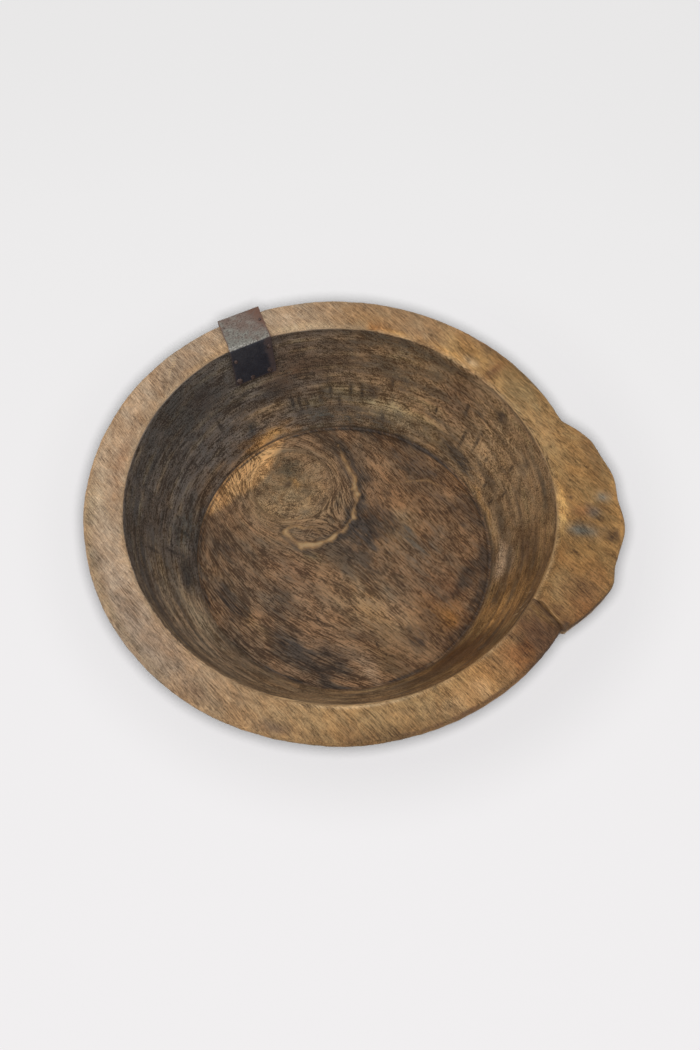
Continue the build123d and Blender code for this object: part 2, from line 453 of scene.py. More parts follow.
def bowl_mesh():
    """The bowl's smooth points with their zones and its faces."""
    x, y, edge = disc_grid()
    span = FLOOR_RADIUS - EDGE_MARGIN
    points = [np.column_stack([FLOOR_SHIFT + span * x, span * y, np.full(len(x), FLOOR_HEIGHT)])]
    zones = [np.full(len(x), FLOOR)]
    shifts = [np.full(len(x), FLOOR_SHIFT)]
    index = np.arange(len(x)).reshape(GRID + 1, GRID + 1)
    corners = (index[:-1, :-1], index[1:, :-1], index[1:, 1:], index[:-1, 1:])
    faces = [np.column_stack([corner.ravel() for corner in corners])]

    columns = np.linspace(-180, 180, COLUMNS, endpoint=False)
    count = len(x)
    last = edge
    for zone, radius, height, shift in bowl_rings(columns):
        turn = np.radians(leaning(columns, radius))
        ring = np.column_stack([shift + radius * np.cos(turn), radius * np.sin(turn), height + 0 * turn])
        points.append(ring)
        zones.append(np.full(COLUMNS, zone))
        shifts.append(np.full(COLUMNS, shift))
        this = np.arange(count, count + COLUMNS)
        faces.append(np.column_stack([last, this, np.roll(this, -1), np.roll(last, -1)]))
        last = this
        count += COLUMNS
    points.append(np.zeros((1, 3)))
    zones.append(np.array([BASE]))
    shifts.append(np.zeros(1))
    fan = np.column_stack([last, np.full(COLUMNS, count), np.roll(last, -1)])
    return np.vstack(points), np.concatenate(zones), np.concatenate(shifts), np.vstack(faces), fan


def point_normals(points, quads):
    """Each point's outward direction, from the faces round it."""
    corners = points[quads]
    facing = np.cross(corners[:, 2] - corners[:, 0], corners[:, 3] - corners[:, 1])
    normals = np.zeros_like(points)
    for side in range(4):
        np.add.at(normals, quads[:, side], facing)
    length = np.linalg.norm(normals, axis=1)
    normals[length == 0] = (0, 0, -1)
    return normals / np.where(length == 0, 1, length)[:, None]


# Wood: carving and stains of each zone

RIDGE = (
    (-15, 117), (-7, 104), (1, 90), (7, 76), (12, 62), (11.5, 46), (9, 30), (4, 19), (-7, 9), (-21, 1),
    (-35, -3), (-44, 1), (-53, 12),
)
INNER_ARC = ((-34, 54), (-37, 40), (-46, 24), (-54, 12), (-44, 17), (-30, 19), (-18, 13))
FAR_LINE = ((35, 76), (53, 82), (66, 87), (83, 88), (99, 82), (119, 69))
RIM_SCRATCHES = (
    ((144, 218), (149, 204), (154, 193)), ((142, 221), (146, 209)), ((149, 204), (147, 214)),
    ((185, 220), (193, 197)), ((188, 219), (195, 198)), ((183, 215), (188, 200)),
)
CRESCENT = ((-133, 18), (-85, 64), (-72, 117))
FLOOR_CRACKS = (((-18, -66), (-6, -78), (4, -84)), ((22, -62), (44, -84), (58, -108)))

# Place, half size along the fibre, half size across it, paint, strength
FLOOR_STAINS = (
    (-53, 58, 44, 40, colour(158, 131, 94), 0.65),
    (-63, 87, 13, 13, MOSS, 0.75),
    (-51, 68, 7, 4.5, HONEY, 0.65),
    (-59, 64, 3.5, 3, DARK_RUST, 0.80),
    (-22, 121, 24, 11, SOOT, 0.60),
    (27, 26, 26, 21, NIGHT, 0.98),
    (17, 82, 22, 10, SOOT, 0.64),
    (43, 38, 22, 14, SOOT, 0.50),
    (2, -8, 36, 13, SMOKE, 0.95),
    (28, -18, 28, 14, SOOT, 0.72),
    (63, 108, 42, 13, NIGHT, 0.57),
    (80, 66, 30, 16, BROWN, 0.40),
    (58, 26, 18, 24, OCHRE, 0.50),
    (53, 44, 6, 4, PALE, 0.50),
    (62, 40, 4, 4, PALE, 0.45),
    (84, 16, 18, 24, SLATE * 0.6, 0.26),
    (44, -58, 50, 27, OCHRE, 0.65),
    (60, -48, 26, 14, TAN, 0.30),
    (26, -39, 6, 2.6, PALE, 0.80),
    (49, -37, 7, 4, PALE, 0.45),
    (108, -34, 22, 20, RUSSET, 0.35),
    (108, -76, 22, 13, BROWN, 0.55),
    (86, -90, 10, 8, SOOT, 0.78),
    (78, -76, 7, 8, SMOKE, 0.65),
    (128, -14, 9, 40, SOOT, 0.78),
    (-112, -16, 34, 15, SOOT, 0.65),
    (-122, 4, 14, 12, BROWN, 0.50),
    (-94, -72, 26, 10, SOOT, 0.70),
    (-46, -78, 18, 7, SOOT, 0.35),
    (-30, -110, 28, 13, NIGHT, 0.85),
    (12, -114, 24, 10, SOOT, 0.78),
    (30, -92, 16, 8, SOOT, 0.45),
    (-84, -22, 26, 9, UMBER, 0.45),
    (-37, -34, 26, 10, RUSSET, 0.25),
    (-66, -90, 26, 6, OCHRE, 0.45),
    (-104, -52, 24, 7, OCHRE, 0.35),
    (-68, 28, 26, 12, OCHRE, 0.40),
    (-23, -13, 6, 5, OLIVE, 0.70),
    (-27, -8, 8, 4, SOOT, 0.65),
    (46, -124, 22, 7, TAN, 0.40),
    (4, -137, 44, 6, SOOT, 0.78),
    (-104, -56, 24, 16, NIGHT, 0.35),
    (112, -60, 20, 15, colour(134, 89, 37), 0.75),
    (64, -112, 20, 9, colour(98, 72, 44), 0.85),
    (8, 2, 16, 9, SOOT, 0.35),
    (-49, -56, 22, 12, SOOT, 0.40),
    (117, 56, 15, 17, SOOT, 0.45),
    (7, 112, 14, 9, SOOT, 0.30),
)

# Azimuth, share of the height, half angle, half share, paint, strength
WALL_STAINS = (
    (-56, 0.24, 9, 0.05, SOOT, 0.60),
    (-25, 0.76, 5, 0.24, BROWN, 0.52),
    (-12, 0.88, 10, 0.16, BROWN, 0.22),
    (8, 0.82, 4.5, 0.07, MOSS, 0.45),
    (23, 0.70, 2.6, 0.08, SOOT, 0.55),
    (20, 0.50, 3.2, 0.06, SMOKE, 0.65),
    (16, 0.20, 7.5, 0.06, SMOKE, 0.80),
    (30, 0.35, 2.0, 0.11, SMOKE, 0.45),
    (47, 0.11, 9, 0.055, NIGHT, 0.85),
    (39.5, 0.80, 2.2, 0.07, SOOT, 0.80),
    (45, 0.63, 3.6, 0.02, SOOT, 0.65),
    (57, 0.62, 3.0, 0.12, SMOKE, 0.45),
    (26, 0.06, 14, 0.02, HONEY, 0.50),
    (0, 0.16, 6, 0.12, TAN * 1.08, 0.92),
    (72, 0.82, 14, 0.15, MOSS, 0.35),
    (88, 0.95, 24, 0.05, SOOT, 0.50),
    (76, 0.48, 4, 0.08, SOOT, 0.55),
    (87, 0.34, 5, 0.06, SOOT, 0.60),
    (80, 0.24, 17, 0.045, OLIVE * 1.2, 0.75),
    (97, 0.34, 8, 0.07, OLIVE * 1.1, 0.60),
    (104.5, 0.31, 2.2, 0.05, NIGHT, 0.60),
    (110, 0.26, 8, 0.05, OLIVE, 0.50),
    (100, 0.62, 13, 0.05, SOOT, 0.40),
    (90, 0.09, 11, 0.05, NIGHT, 0.70),
    (106, 0.11, 10, 0.05, SLATE * 0.45, 0.45),
    (60, 0.14, 6, 0.06, OLIVE, 0.45),
    (120, 0.46, 5, 0.08, SOOT, 0.80),
    (126, 0.30, 9, 0.10, OCHRE, 0.50),
    (130, 0.07, 11, 0.055, HONEY, 0.90),
    (134, 0.21, 2.8, 0.06, NIGHT, 0.75),
    # dark grey high on the back left wall: patina, and painted shade
    (150, 0.76, 20, 0.28, colour(61, 59, 55), 0.59),
    (145, 0.72, 4, 0.10, DARK_RUST, 0.55),
    (160, 0.10, 22, 0.06, UMBER, 0.55),
    # near-black high on the left wall: patina, and painted shade
    (195, 0.84, 30, 0.16, NIGHT * 1.2, 0.40),
    (215, 0.71, 16, 0.03, NIGHT, 0.70),
    (212, 0.44, 18, 0.16, OLIVE, 0.30),
    (228, 0.34, 24, 0.45, colour(158, 131, 104), 0.80),
    (-35, 0.62, 5, 0.15, SOOT, 0.60),
    (56, 0.58, 8, 0.25, colour(128, 92, 68), 0.55),
    (110, 0.62, 12, 0.16, BROWN, 0.60),
    (82, 0.58, 14, 0.08, SMOKE, 0.60),
    (240, 0.80, 22, 0.08, SOOT, 0.45),
    (246, 0.05, 30, 0.04, SOOT, 0.50),
    (-42, 0.20, 10, 0.24, colour(77, 46, 21), 0.92),
    (-40, 0.50, 9, 0.14, colour(99, 62, 32), 0.70),
    (-20, 0.40, 8, 0.26, colour(184, 135, 80), 0.82),
    (0, 0.50, 6, 0.14, BROWN, 0.68),
    (41, 0.38, 9, 0.25, colour(170, 137, 100), 0.85),
    (80, 0.20, 10, 0.11, colour(164, 142, 108), 0.90),
    (182, 0.15, 9, 0.12, SLATE * 0.5, 0.40),
    (222, 0.18, 14, 0.17, colour(170, 147, 118), 0.90),
    (182, 0.50, 9, 0.14, colour(118, 102, 88), 0.74),
    (140, 0.50, 9, 0.13, NIGHT, 0.28),
    (200, 0.50, 9, 0.13, NIGHT, 0.28),
    (200, 0.15, 8, 0.10, NIGHT, 0.80),
)

# Azimuth, share of the height and half share of the upright tool ticks
WALL_TICKS = (
    (23, 0.30, 0.06), (27.5, 0.52, 0.05), (31.5, 0.17, 0.03), (25, 0.14, 0.04), (37.5, 0.34, 0.03),
    (44, 0.37, 0.10), (49.5, 0.30, 0.10), (52.5, 0.56, 0.08), (62.8, 0.38, 0.04), (80, 0.46, 0.06),
    (90.5, 0.34, 0.06), (94.5, 0.33, 0.06), (98.7, 0.24, 0.05), (101.7, 0.35, 0.07), (105.5, 0.30, 0.06),
    (111, 0.24, 0.05), (113.5, 0.27, 0.09), (116, 0.28, 0.07), (82, 0.12, 0.04), (144, 0.40, 0.06),
    (160, 0.33, 0.06), (184.5, 0.18, 0.08), (194, 0.27, 0.09), (197.5, 0.54, 0.07),
)
TICK_HALF_ANGLE = 0.62

# Azimuth and share of the height along the light scratches
WALL_SCRATCHES = (
    ((-25.5, 0.95), (-26.5, 0.80), (-27, 0.64)), ((-22.5, 0.88), (-24.5, 0.74)), ((-20, 0.88), (-19, 0.72)),
    ((119, 0.30), (123, 0.26)),
)

# Azimuth, radius, half angle, half width, paint, strength
RIM_STAINS = (
    (-6, 222, 26, 40, colour(131, 97, 55), 0.85),
    (-18, 230, 7, 16, RUSSET * 0.7, 0.60),
    (18, 236, 10, 12, BROWN, 0.45),
    (10, 247, 10, 4, HONEY, 0.55),
    (-18, 208, 5, 12, OCHRE, 0.45),
    (-2, 214, 1.6, 14, SLATE, 0.80),
    (7, 234, 1.3, 7, SLATE, 0.65),
    (3, 224, 1.4, 6, SLATE, 0.65),
    (3.5, 215, 1.6, 11, RUSSET, 0.45),
    (-2.6, 241, 1.5, 6, DARK_RUST * 0.6, 1.0),
    (7, 205, 1.1, 3.5, DARK_RUST, 0.75),
    (3, 195.5, 8, 5, colour(206, 160, 98), 1.0),
    (59, 208, 9, 24, HONEY * 0.85, 0.75),
    (57, 224, 12, 5, RUSSET, 0.40),
    (50.5, 206, 1.3, 15, RUSSET * 0.8, 0.90),
    (57, 196, 3, 4, PALE, 0.70),
    (63, 193, 9, 3, HONEY, 0.80),
    (40, 206, 12, 20, OLIVE, 0.40),
    (137, 194, 8, 4, HONEY, 0.55),
    (111, 194, 10, 3, PALE, 0.50),
    (180, 223, 40, 2.5, HONEY, 0.40),
    (216, 219, 22, 4, OLIVE, 0.50),
    # a thin dark line along the rim's lower outer edge: painted shade
    (-52, 222, 30, 2.2, BROWN, 0.80),
    (160, 197, 26, 8, UMBER * 1.25, 0.60),
    (57, 218, 9, 8, UMBER, 0.45),
    (-46, 212, 10, 16, colour(152, 110, 66), 0.60),
    (222, 208, 20, 20, ASH * 1.5, 0.35),
    (86, 216, 16, 10, UMBER * 1.2, 0.45),
    (204, 217, 5, 5, SMOKE, 0.40),
    (189, 217, 7, 8, PALE, 0.45),
    (132, 200, 5, 9, colour(182, 153, 119), 0.85),
    (230, 206, 14, 10, SMOKE, 0.24),
    (256, 200, 3, 5, BROWN, 0.40),
    (288, 208, 24, 22, OCHRE, 0.55),
    (280, 212, 2, 6, BROWN, 0.40),
    (293, 204, 2.5, 6, BROWN, 0.40),
    (282, 192.5, 13, 1.6, PALE, 0.60),
    (310.5, 212, 1.6, 9, PALE, 0.70),
    (304, 214, 5, 9, PALE, 0.30),
    (-38, 210, 8, 24, RUSSET * 0.75, 0.70),
    # dark brown beside the lug's step: dirt, and painted shadow of the step
    (-30.5, 210, 5.5, 28, BROWN, 0.95),
    (-34, 199, 4, 5, OCHRE, 0.50),
    (232, 208, 13, 24, colour(136, 111, 90), 0.50),
    (140, 208, 14, 24, colour(148, 123, 100), 0.45),
    (90, 202, 10, 16, colour(144, 108, 68), 0.65),
    (-30, 222, 6, 7, RUSSET * 0.5, 0.60),
    (-10, 198, 8, 7, colour(118, 83, 46), 0.78),
    (288, 219, 26, 9, colour(112, 82, 50), 0.65),
    (48, 218, 8, 8, colour(116, 85, 47), 0.66),
    (264, 216, 3.6, 4.5, colour(104, 82, 64), 0.80),
    (245, 214, 4, 5, colour(124, 98, 76), 0.60),
    (210, 215, 6, 5, colour(128, 100, 74), 0.55),
    (177, 199, 9, 5, colour(150, 112, 84), 0.45),
    # dark brown beside the lug's step: dirt, and painted shadow of the step
    (-32, 216, 6, 24, colour(97, 58, 27), 0.88),
    (30, 200, 8, 9, colour(162, 130, 90), 0.45),
    (74, 200, 7, 14, colour(148, 119, 90), 0.50),
    (312, 208, 7, 20, colour(170, 128, 80), 0.45),
    (190, 198, 7, 6, colour(148, 116, 86), 0.45),
    (81, 192.5, 4, 2.6, HONEY * 1.1, 0.75),
    (87.3, 193, 2.3, 4.6, colour(164, 111, 60), 0.95),
)

DARK = 0.11  # light that a paint reflects at most to go into the dark layer of dirt and painted shade

# Azimuth, half angle and depth of the places where the rim's inner edge has broken away
EDGE_CHIPS = ((88, 3, 2.4), (75, 2, 1.0), (51, 1.6, 1.2), (44, 4, 0.8), (137, 6, 0.8), (22, 8, 0.6))

# Azimuth and radius of the rim's worn inner edge
WORN_EDGE = (
    (-180, 190), (-160, 189.5), (-100, 191), (-70, 190.7), (-45, 190), (-25, 190.5), (0, 193.5), (12, 193),
    (30, 190), (57, 187.5), (75, 188.5), (90, 189), (120, 190.2), (140, 191.5), (180, 190),
)

# Azimuth and strength of the dark groove round the floor: dirt, and painted shade in the corner
GROOVE_DIRT_AND_SHADE = (
    (-180, 0.70), (-140, 0.60), (-90, 0.85), (-50, 0.80), (-20, 0.80), (20, 0.65), (45, 0.75), (62, 0.95),
    (90, 1.0), (112, 0.80), (130, 0.85), (160, 0.80), (180, 0.70),
)


def knot_round(x, y):
    """Distance from the knot's eye and the turn round it."""
    return np.hypot(x - KNOT[0], y - KNOT[1]), np.arctan2(y - KNOT[1], x - KNOT[0])


def fibre_place(x, y, z):
    """Distances along and across the fibres, which bend a little, part round the knot and ring it."""
    turn = math.radians(FIBRE_AZIMUTH)
    along = x * math.cos(turn) + y * math.sin(turn)
    middle = KNOT[1] * math.cos(turn) - KNOT[0] * math.sin(turn)
    across = y * math.cos(turn) - x * math.sin(turn) - middle
    away, round_knot = knot_round(x, y)
    parted = across * (1 - (KNOT_RADIUS / np.maximum(away, KNOT_RADIUS)) ** 2) - along**2 / (2 * FIBRE_BEND)
    ringed = away < KNOT_RADIUS
    return (
        np.where(ringed, np.cos(round_knot) * KNOT_RADIUS, along),
        np.where(ringed, away - KNOT_RADIUS, parted),
        np.where(ringed, np.sin(round_knot) * KNOT_RADIUS, z),
    )


def paint_spots(p, tint, rows, offsets, ragged):
    """Lays the stains of a list: dark paints in the layer of grime and painted shade, the others over the
    tint.
    """
    for first, second, half_first, half_second, paint, strength in rows:
        a, b = offsets(first, second)
        mask = strength * spot(ragged * a / half_first, ragged * b / half_second)
        if max(paint) < DARK:
            soil(p, mask, paint)
        else:
            stain(tint, mask, paint)


def floor_finish(p):
    """Carving and tint of the floor: tool marks, the knot's rings, its ridges and the groove at the edge,
    with painted shade beside the ridges and in the groove.
    """
    wander = 2.2 * bumps((9, 9), (p.x, p.y), 11, 2)
    wave = 2.2 * bumps((9, 9), (p.y, p.x), 12, 2)
    ridge = line_distance(p.x + wander, p.y + wave, RIDGE)
    arc = line_distance(p.x + wander, p.y + wave, INNER_ARC)
    far = line_distance(p.x + wander / 2, p.y + wave / 2, FAR_LINE)
    broken = 3.0 * bumps((7, 7), (p.x, p.y), 18, 3)
    fading = 1.0 + 1.2 * ease((p.x - 62) / 35)
    p.ridge = np.minimum(ridge + 1.2 * ease((p.y - 55) / 45), arc * 1.5 + 0.8)
    p.ridge = np.minimum(p.ridge, far * 1.5 + fading + 0.5) + broken
    p.ridge -= 1.3 * spot((p.x + 36) / 15, (p.y - 2) / 7)
    p.crack = np.min([line_distance(p.x + wander, p.y + wave, line) for line in FLOOR_CRACKS], axis=0)
    away, _ = knot_round(p.x + wander, p.y + wave)
    rings = np.sin(2 * math.pi * away / KNOT_RING_WIDTH) * ease(1.6 - away / 34)
    to_edge = FLOOR_RADIUS - GROOVE_INSET - np.hypot(p.x - FLOOR_SHIFT, p.y)
    dirt = smooth_curve(p.azimuth, GROOVE_DIRT_AND_SHADE)
    uneven = 0.75 + 0.5 * bumps((16, 5), (p.arc, to_edge), 19, 3)
    groove = bell(to_edge, GROOVE_WIDTH)
    second = bell(to_edge - 5.5, 1.3) * sector(p, 190, 75, 1.2)
    marks = bumps((40, 4.5), (p.along, p.across), 13, 3)
    relief = 0.7 * bumps((46, 46), (p.x, p.y), 14, 2) + 0.35 * marks + 0.18 * rings
    relief += 1.5 * bell(ridge, 2.4) + 0.7 * bell(arc, 1.8)
    relief += 0.6 * bell(far, 2.0) + 0.9 * spot((p.x - KNOT[0]) / 5, (p.y - KNOT[1]) / 4)
    relief -= 1.3 * groove + 0.5 * second

    lower_left = ease((p.x * -0.55 - p.y * 0.83 - 10) / 80)
    right = ease((p.x + 10) / 70)
    p.contrast = 2.3 + 0.3 * lower_left - 0.2 * right
    p.across = p.across + (1 / (2 * FIBRE_BEND) - FLOOR_CURVE * lower_left) * p.along**2
    p.strands = 0.3 + 0.9 * lower_left
    p.hatch = 0.7 - 0.5 * right
    p.rasped = (0.9 - 0.6 * lower_left) * (1 - 0.4 * right)
    p.rise = p.radius
    p.streaks = 0.4 * right
    tint = coat(p, colour(131, 101, 74))
    stain(tint, right, colour(133, 100, 70))
    soil(p, 0.24 + 0.55 * bumps((44, 12), (p.along, p.across), 15, 4), SMOKE)
    fibre = math.radians(FIBRE_AZIMUTH)
    warped_x = p.x + 8 * bumps((22, 22), (p.x, p.y), 71, 3)
    warped_y = p.y + 8 * bumps((22, 22), (p.x, p.y), 72, 3)

    def offsets(x, y):
        dx = warped_x - x
        dy = warped_y - y
        return dx * math.cos(fibre) + dy * math.sin(fibre), dy * math.cos(fibre) - dx * math.sin(fibre)

    ragged = 1 + 0.55 * bumps((12, 6), (p.along, p.across), 16, 4)
    paint_spots(p, tint, FLOOR_STAINS, offsets, ragged)
    tint *= (1 + 0.20 * rings * ease(1.5 - away / 40))[:, None]
    crescent = np.ones(len(p.x))
    for (ax, ay), (bx, by) in zip(CRESCENT[:-1], CRESCENT[1:]):
        beyond = (by - ay) * (ax - p.x - wander) + (bx - ax) * (p.y + wave - ay)
        crescent *= ease(beyond / math.hypot(bx - ax, by - ay) / 9 + 0.5)
    streaky = 0.9 + 0.4 * bumps((14, 4), (p.along, p.across), 17, 4)
    stain(tint, crescent * streaky, colour(190, 145, 96))
    p.dirt *= 1 - 0.85 * crescent
    # painted shadow to the right of the ridge, and painted shade along both its sides
    right_of = p.x - np.interp(p.y, *np.array(RIDGE[9::-1]).T[::-1])
    beside = bell(ridge - 5, 4) * ease(right_of / 4 + 0.5) * ease(p.y / 12)
    soil(p, 0.75 * beside * (0.8 + 0.25 * broken), NIGHT)
    soil(p, 0.45 * bell(ridge - 4.5, 1.8), SOOT)
    # dark in the groove and on the floor's edge by the wall's foot: dirt, and painted shade in the corner
    soil(p, (1.15 * groove + 0.6 * second) * dirt * uneven, NIGHT)
    far_dark = sector(p, 80, 42, 1) * bell(to_edge, 7.5)
    soil(p, 0.9 * far_dark * uneven, NIGHT)
    near_dark = sector(p, -10, 44, 1.2) * bell(to_edge - 4, 6)
    soil(p, 0.95 * near_dark * uneven, SOOT)
    return relief, tint


def wall_finish(p):
    """Carving and tint of the inside of the wall: long gouge marks, short ticks and smoke, with painted
    shade on the left and along the foot.
    """
    gouges = bumps((38, 9), (p.arc, p.rise), 21, 2)
    streaks = bumps((60, 3.4), (p.arc, p.rise), 22, 3)
    relief = 0.6 * bumps((70, 40), (p.arc, p.rise), 23) + 0.45 * gouges + 0.22 * streaks
    relief *= ease(p.share * 12)
    for azimuth, half_angle, depth in EDGE_CHIPS:
        relief -= depth / 2 * spot(turn_from(p.azimuth, azimuth) / half_angle, (1 - p.share) / 0.03)
    relief = np.where(under_patch(p), np.minimum(relief, 0) - 0.2, relief)

    lug_side = sector(p, 5, 60, 1.3)
    p.contrast = 2.2 - 0.3 * lug_side
    p.mottled = 1 - 0.3 * lug_side
    p.hatch[:] = 0.8
    p.rasped[:] = 0.6
    p.streaks = 1.3 - 0.7 * lug_side
    p.slashes = 0.3 + 0.9 * sector(p, 78, 34, 1.4) * ease(p.share * 2.6 - 0.9)
    tint = coat(p, colour(146, 116, 84))
    stain(tint, sector(p, -32, 42, 1.3), colour(124, 90, 54))
    # greyer and darker on the left: its patina, and painted shade
    left = 0.95 * sector(p, 168, 66, 1.5)
    stain(tint, left, ASH)
    bands = bumps((52, 5), (p.arc, p.rise), 24, 4)
    soil(p, 0.26 + 0.8 * bands, SMOKE + left[:, None] * (ASH * 0.6 - SMOKE))
    stain(tint, 0.7 * (-0.12 - bands), OLIVE * 1.15)

    warped_azimuth = p.azimuth + 3 * bumps((18, 9), (p.arc, p.rise), 73, 3)
    warped_share = p.share + 0.05 * bumps((18, 9), (p.arc, p.rise), 74, 3)

    def offsets(azimuth, share):
        return turn_from(warped_azimuth, azimuth), warped_share - share

    ragged = 1 + 0.6 * bumps((16, 5), (p.arc, p.rise), 25, 4)
    paint_spots(p, tint, WALL_STAINS, offsets, ragged)
    for azimuth, share, half_share in WALL_TICKS:
        aside = turn_from(p.azimuth, azimuth) / TICK_HALF_ANGLE
        tick = spot(aside, (p.share - share) / half_share)
        relief -= 0.5 * tick
        soil(p, 0.95 * tick, SOOT * 0.8)
    for line in WALL_SCRATCHES:
        ends = [(math.radians(a) * INNER_RADIUS, s * WALL_LENGTH) for a, s in line]
        p.scratch = np.minimum(p.scratch, line_distance(p.arc, p.rise, ends) + 0.25)
    # dark along the wall's foot: dirt, and painted shade in the corner
    foot = bell(p.share, 0.022) * smooth_curve(p.azimuth, GROOVE_DIRT_AND_SHADE)
    soil(p, 0.8 * foot, NIGHT)
    crest = bell(p.share - 0.035, 0.014) * sector(p, -10, 60, 1.2)
    stain(tint, 0.4 * crest * (0.7 + 0.8 * bumps((14, 14), (p.arc, p.rise), 26, 3)), PALE * 0.8)
    return relief, tint


def step_beside(p):
    """How far each point of the rim lies from the lug's step, in millimetres towards the lug."""
    step = STEP_INNER_ANGLE + (STEP_OUTER_ANGLE - STEP_INNER_ANGLE) * step_crossing(p.radius)
    return np.radians(p.azimuth + step) * p.radius


def rim_finish(p):
    """Carving and tint of the rim and the lug's top: hatched by a rasp, worn at its edges, with painted
    shade and a painted highlight at the lug's step and painted shade on the lower outer edge.
    """
    p.across = p.across + p.along**2 / (2 * FIBRE_BEND) + RIM_SLOPE * p.along
    hatch = bumps((16, 2.6), (p.along, p.across), 31, 2)
    relief = 0.4 * bumps((42, 42), (p.x, p.y), 32, 2) + 0.14 * hatch - 0.4
    inner = ease(1 - (p.radius - INNER_RADIUS) / 5)
    wear = 0.5 + 0.5 * bumps((11, 11), (p.arc, p.radius), 33, 3)
    relief -= 0.7 * inner * wear
    for azimuth, half_angle, depth in EDGE_CHIPS:
        near = ease(1 - (p.radius - INNER_RADIUS) / 7)
        relief -= depth * near * bell(turn_from(p.azimuth, azimuth), half_angle)
    outer = ease(1 - (p.edge - p.radius) / 6)
    nicks = np.abs(bumps((14, 14, 14), (p.x, p.y, p.z), 34, 2))
    relief += outer * (0.25 - 0.7 * nicks)
    relief = np.where(under_patch(p), np.minimum(relief, 0) - 0.3, relief)
    for line in RIM_SCRATCHES:
        ends = [(r * math.cos(math.radians(a)), r * math.sin(math.radians(a))) for a, r in line]
        p.scratch = np.minimum(p.scratch, line_distance(p.x, p.y, ends) + 0.4)
    gaps = 2.4 * np.abs(bumps((13, 13), (p.arc, p.arc), 35, 2))
    seam = np.abs(p.radius - INNER_RADIUS - 0.6) + gaps
    p.crack = np.where(np.abs(turn_from(p.azimuth, 32)) < 22, seam, np.inf)

    right = sector(p, -20, 85, 1.5)
    p.contrast = 0.9 + 0.2 * right
    p.mottled = 1.0 + 0.1 * right
    p.hatch[:] = 0.45
    p.rasped[:] = 0.35
    tint = coat(p, colour(151, 115, 72))
    stain(tint, sector(p, 168, 78, 1.55), TAN)

    def offsets(azimuth, radius):
        return turn_from(p.azimuth, azimuth), p.radius - radius

    ragged = 1 + 0.5 * bumps((9, 6), (p.along, p.across), 36, 4)
    paint_spots(p, tint, RIM_STAINS, offsets, ragged)
    stain(tint, 0.4 * inner * wear, PALE)
    # painted shade along the outer edge at the lug's lower end
    lower = sector(p, -24, 16, 1.3)
    soil(p, 0.8 * lower * ease(1 - (p.edge - p.radius) / 2.4), SOOT)
    # painted shadow on the rim beside the lug's step, with some dirt, and a painted highlight along the
    # step's edge
    beside = step_beside(p)
    soil(p, 0.5 * (beside < 0) * bell(beside, 9), BROWN * 0.7)
    soil(p, 0.8 * (beside < 0) * bell(beside, 2.4), BROWN * 0.5)
    stain(tint, 0.6 * (beside > 0) * bell(beside, 1.4), OCHRE * 1.3)
    return relief, tint


def outside_finish(p):
    """Carving and tint of the outside: broad adze facets, darker towards the foot."""
    broad = np.abs(bumps((26, 26, 20), (p.x, p.y, p.z), 41))
    small = np.abs(bumps((9, 9, 9), (p.x, p.y, p.z), 42, 2))
    relief = -0.3 - 1.1 * (broad + 0.4 * small)
    p.contrast[:] = 1.5
    p.mottled[:] = 0.6
    p.hatch[:] = 0.4
    p.strands[:] = 0.25
    p.streaks[:] = 0.5
    tint = coat(p, OCHRE)
    blotch = bumps((34, 34, 22), (p.x, p.y, p.z), 43, 4)
    stain(tint, 0.45 + 0.5 * blotch, UMBER)
    stain(tint, ease(0.75 - p.z / 70) * (0.6 + 0.4 * blotch), BROWN)
    return relief, tint


def base_finish(p):
    """Carving and tint of the base, a little hollow in the middle so that it stands on its edge."""
    inset = ease(1.2 - p.radius / BASE_RADIUS)
    relief = -0.9 * inset * (1 + 0.3 * bumps((20, 6), (p.along, p.across), 51, 2))
    tint = coat(p, BROWN)
    stain(tint, 0.4 + 0.5 * bumps((40, 18), (p.along, p.across), 52, 3), UMBER)
    return relief, tint


def under_patch(p):
    """Where the patch lies over the wood."""
    aside = np.radians(turn_from(p.azimuth, PATCH_AZIMUTH)) * p.radius
    skewed = aside + (p.radius - INNER_RADIUS) * math.tan(math.radians(PATCH_SKEW))
    return (np.abs(skewed) < PATCH_WIDTH / 2 + PATCH_MARGIN) & (p.z > PATCH_SEAT[0][1] - PATCH_MARGIN)


ZONE_FINISHES = {
    FLOOR: floor_finish,
    WALL: wall_finish,
    RIM: rim_finish,
    OUTSIDE: outside_finish,
    BASE: base_finish,
}


def zone_points(points, shifts, rows):
    """The places that a zone's finish is worked out from, and its marks before the finish sets them."""
    x, y, z = points[rows].T
    radius = np.hypot(x - shifts[rows], y)
    azimuth = np.degrees(np.arctan2(y, x - shifts[rows]))
    along, across, level = fibre_place(x, y, z)
    share = np.clip((z - FLOOR_HEIGHT) / DEPTH, 0, 1)
    p = SimpleNamespace(
        x=x, y=y, z=z, radius=radius, azimuth=azimuth, share=share, along=along, across=across, level=level,
        arc=np.radians(azimuth) * INNER_RADIUS, rise=share * WALL_LENGTH,
        edge=lug_reach(azimuth + 2.0, azimuth), contrast=np.ones(len(x)), mottled=np.ones(len(x)),
    )
    for mark in ("strands", "hatch", "rasped", "streaks", "slashes", "dirt"):
        setattr(p, mark, np.zeros(len(x)))
    p.soil = np.tile(SOOT, (len(x), 1))
    for line in ("ridge", "crack", "scratch"):
        setattr(p, line, np.full(len(x), np.inf))
    return p


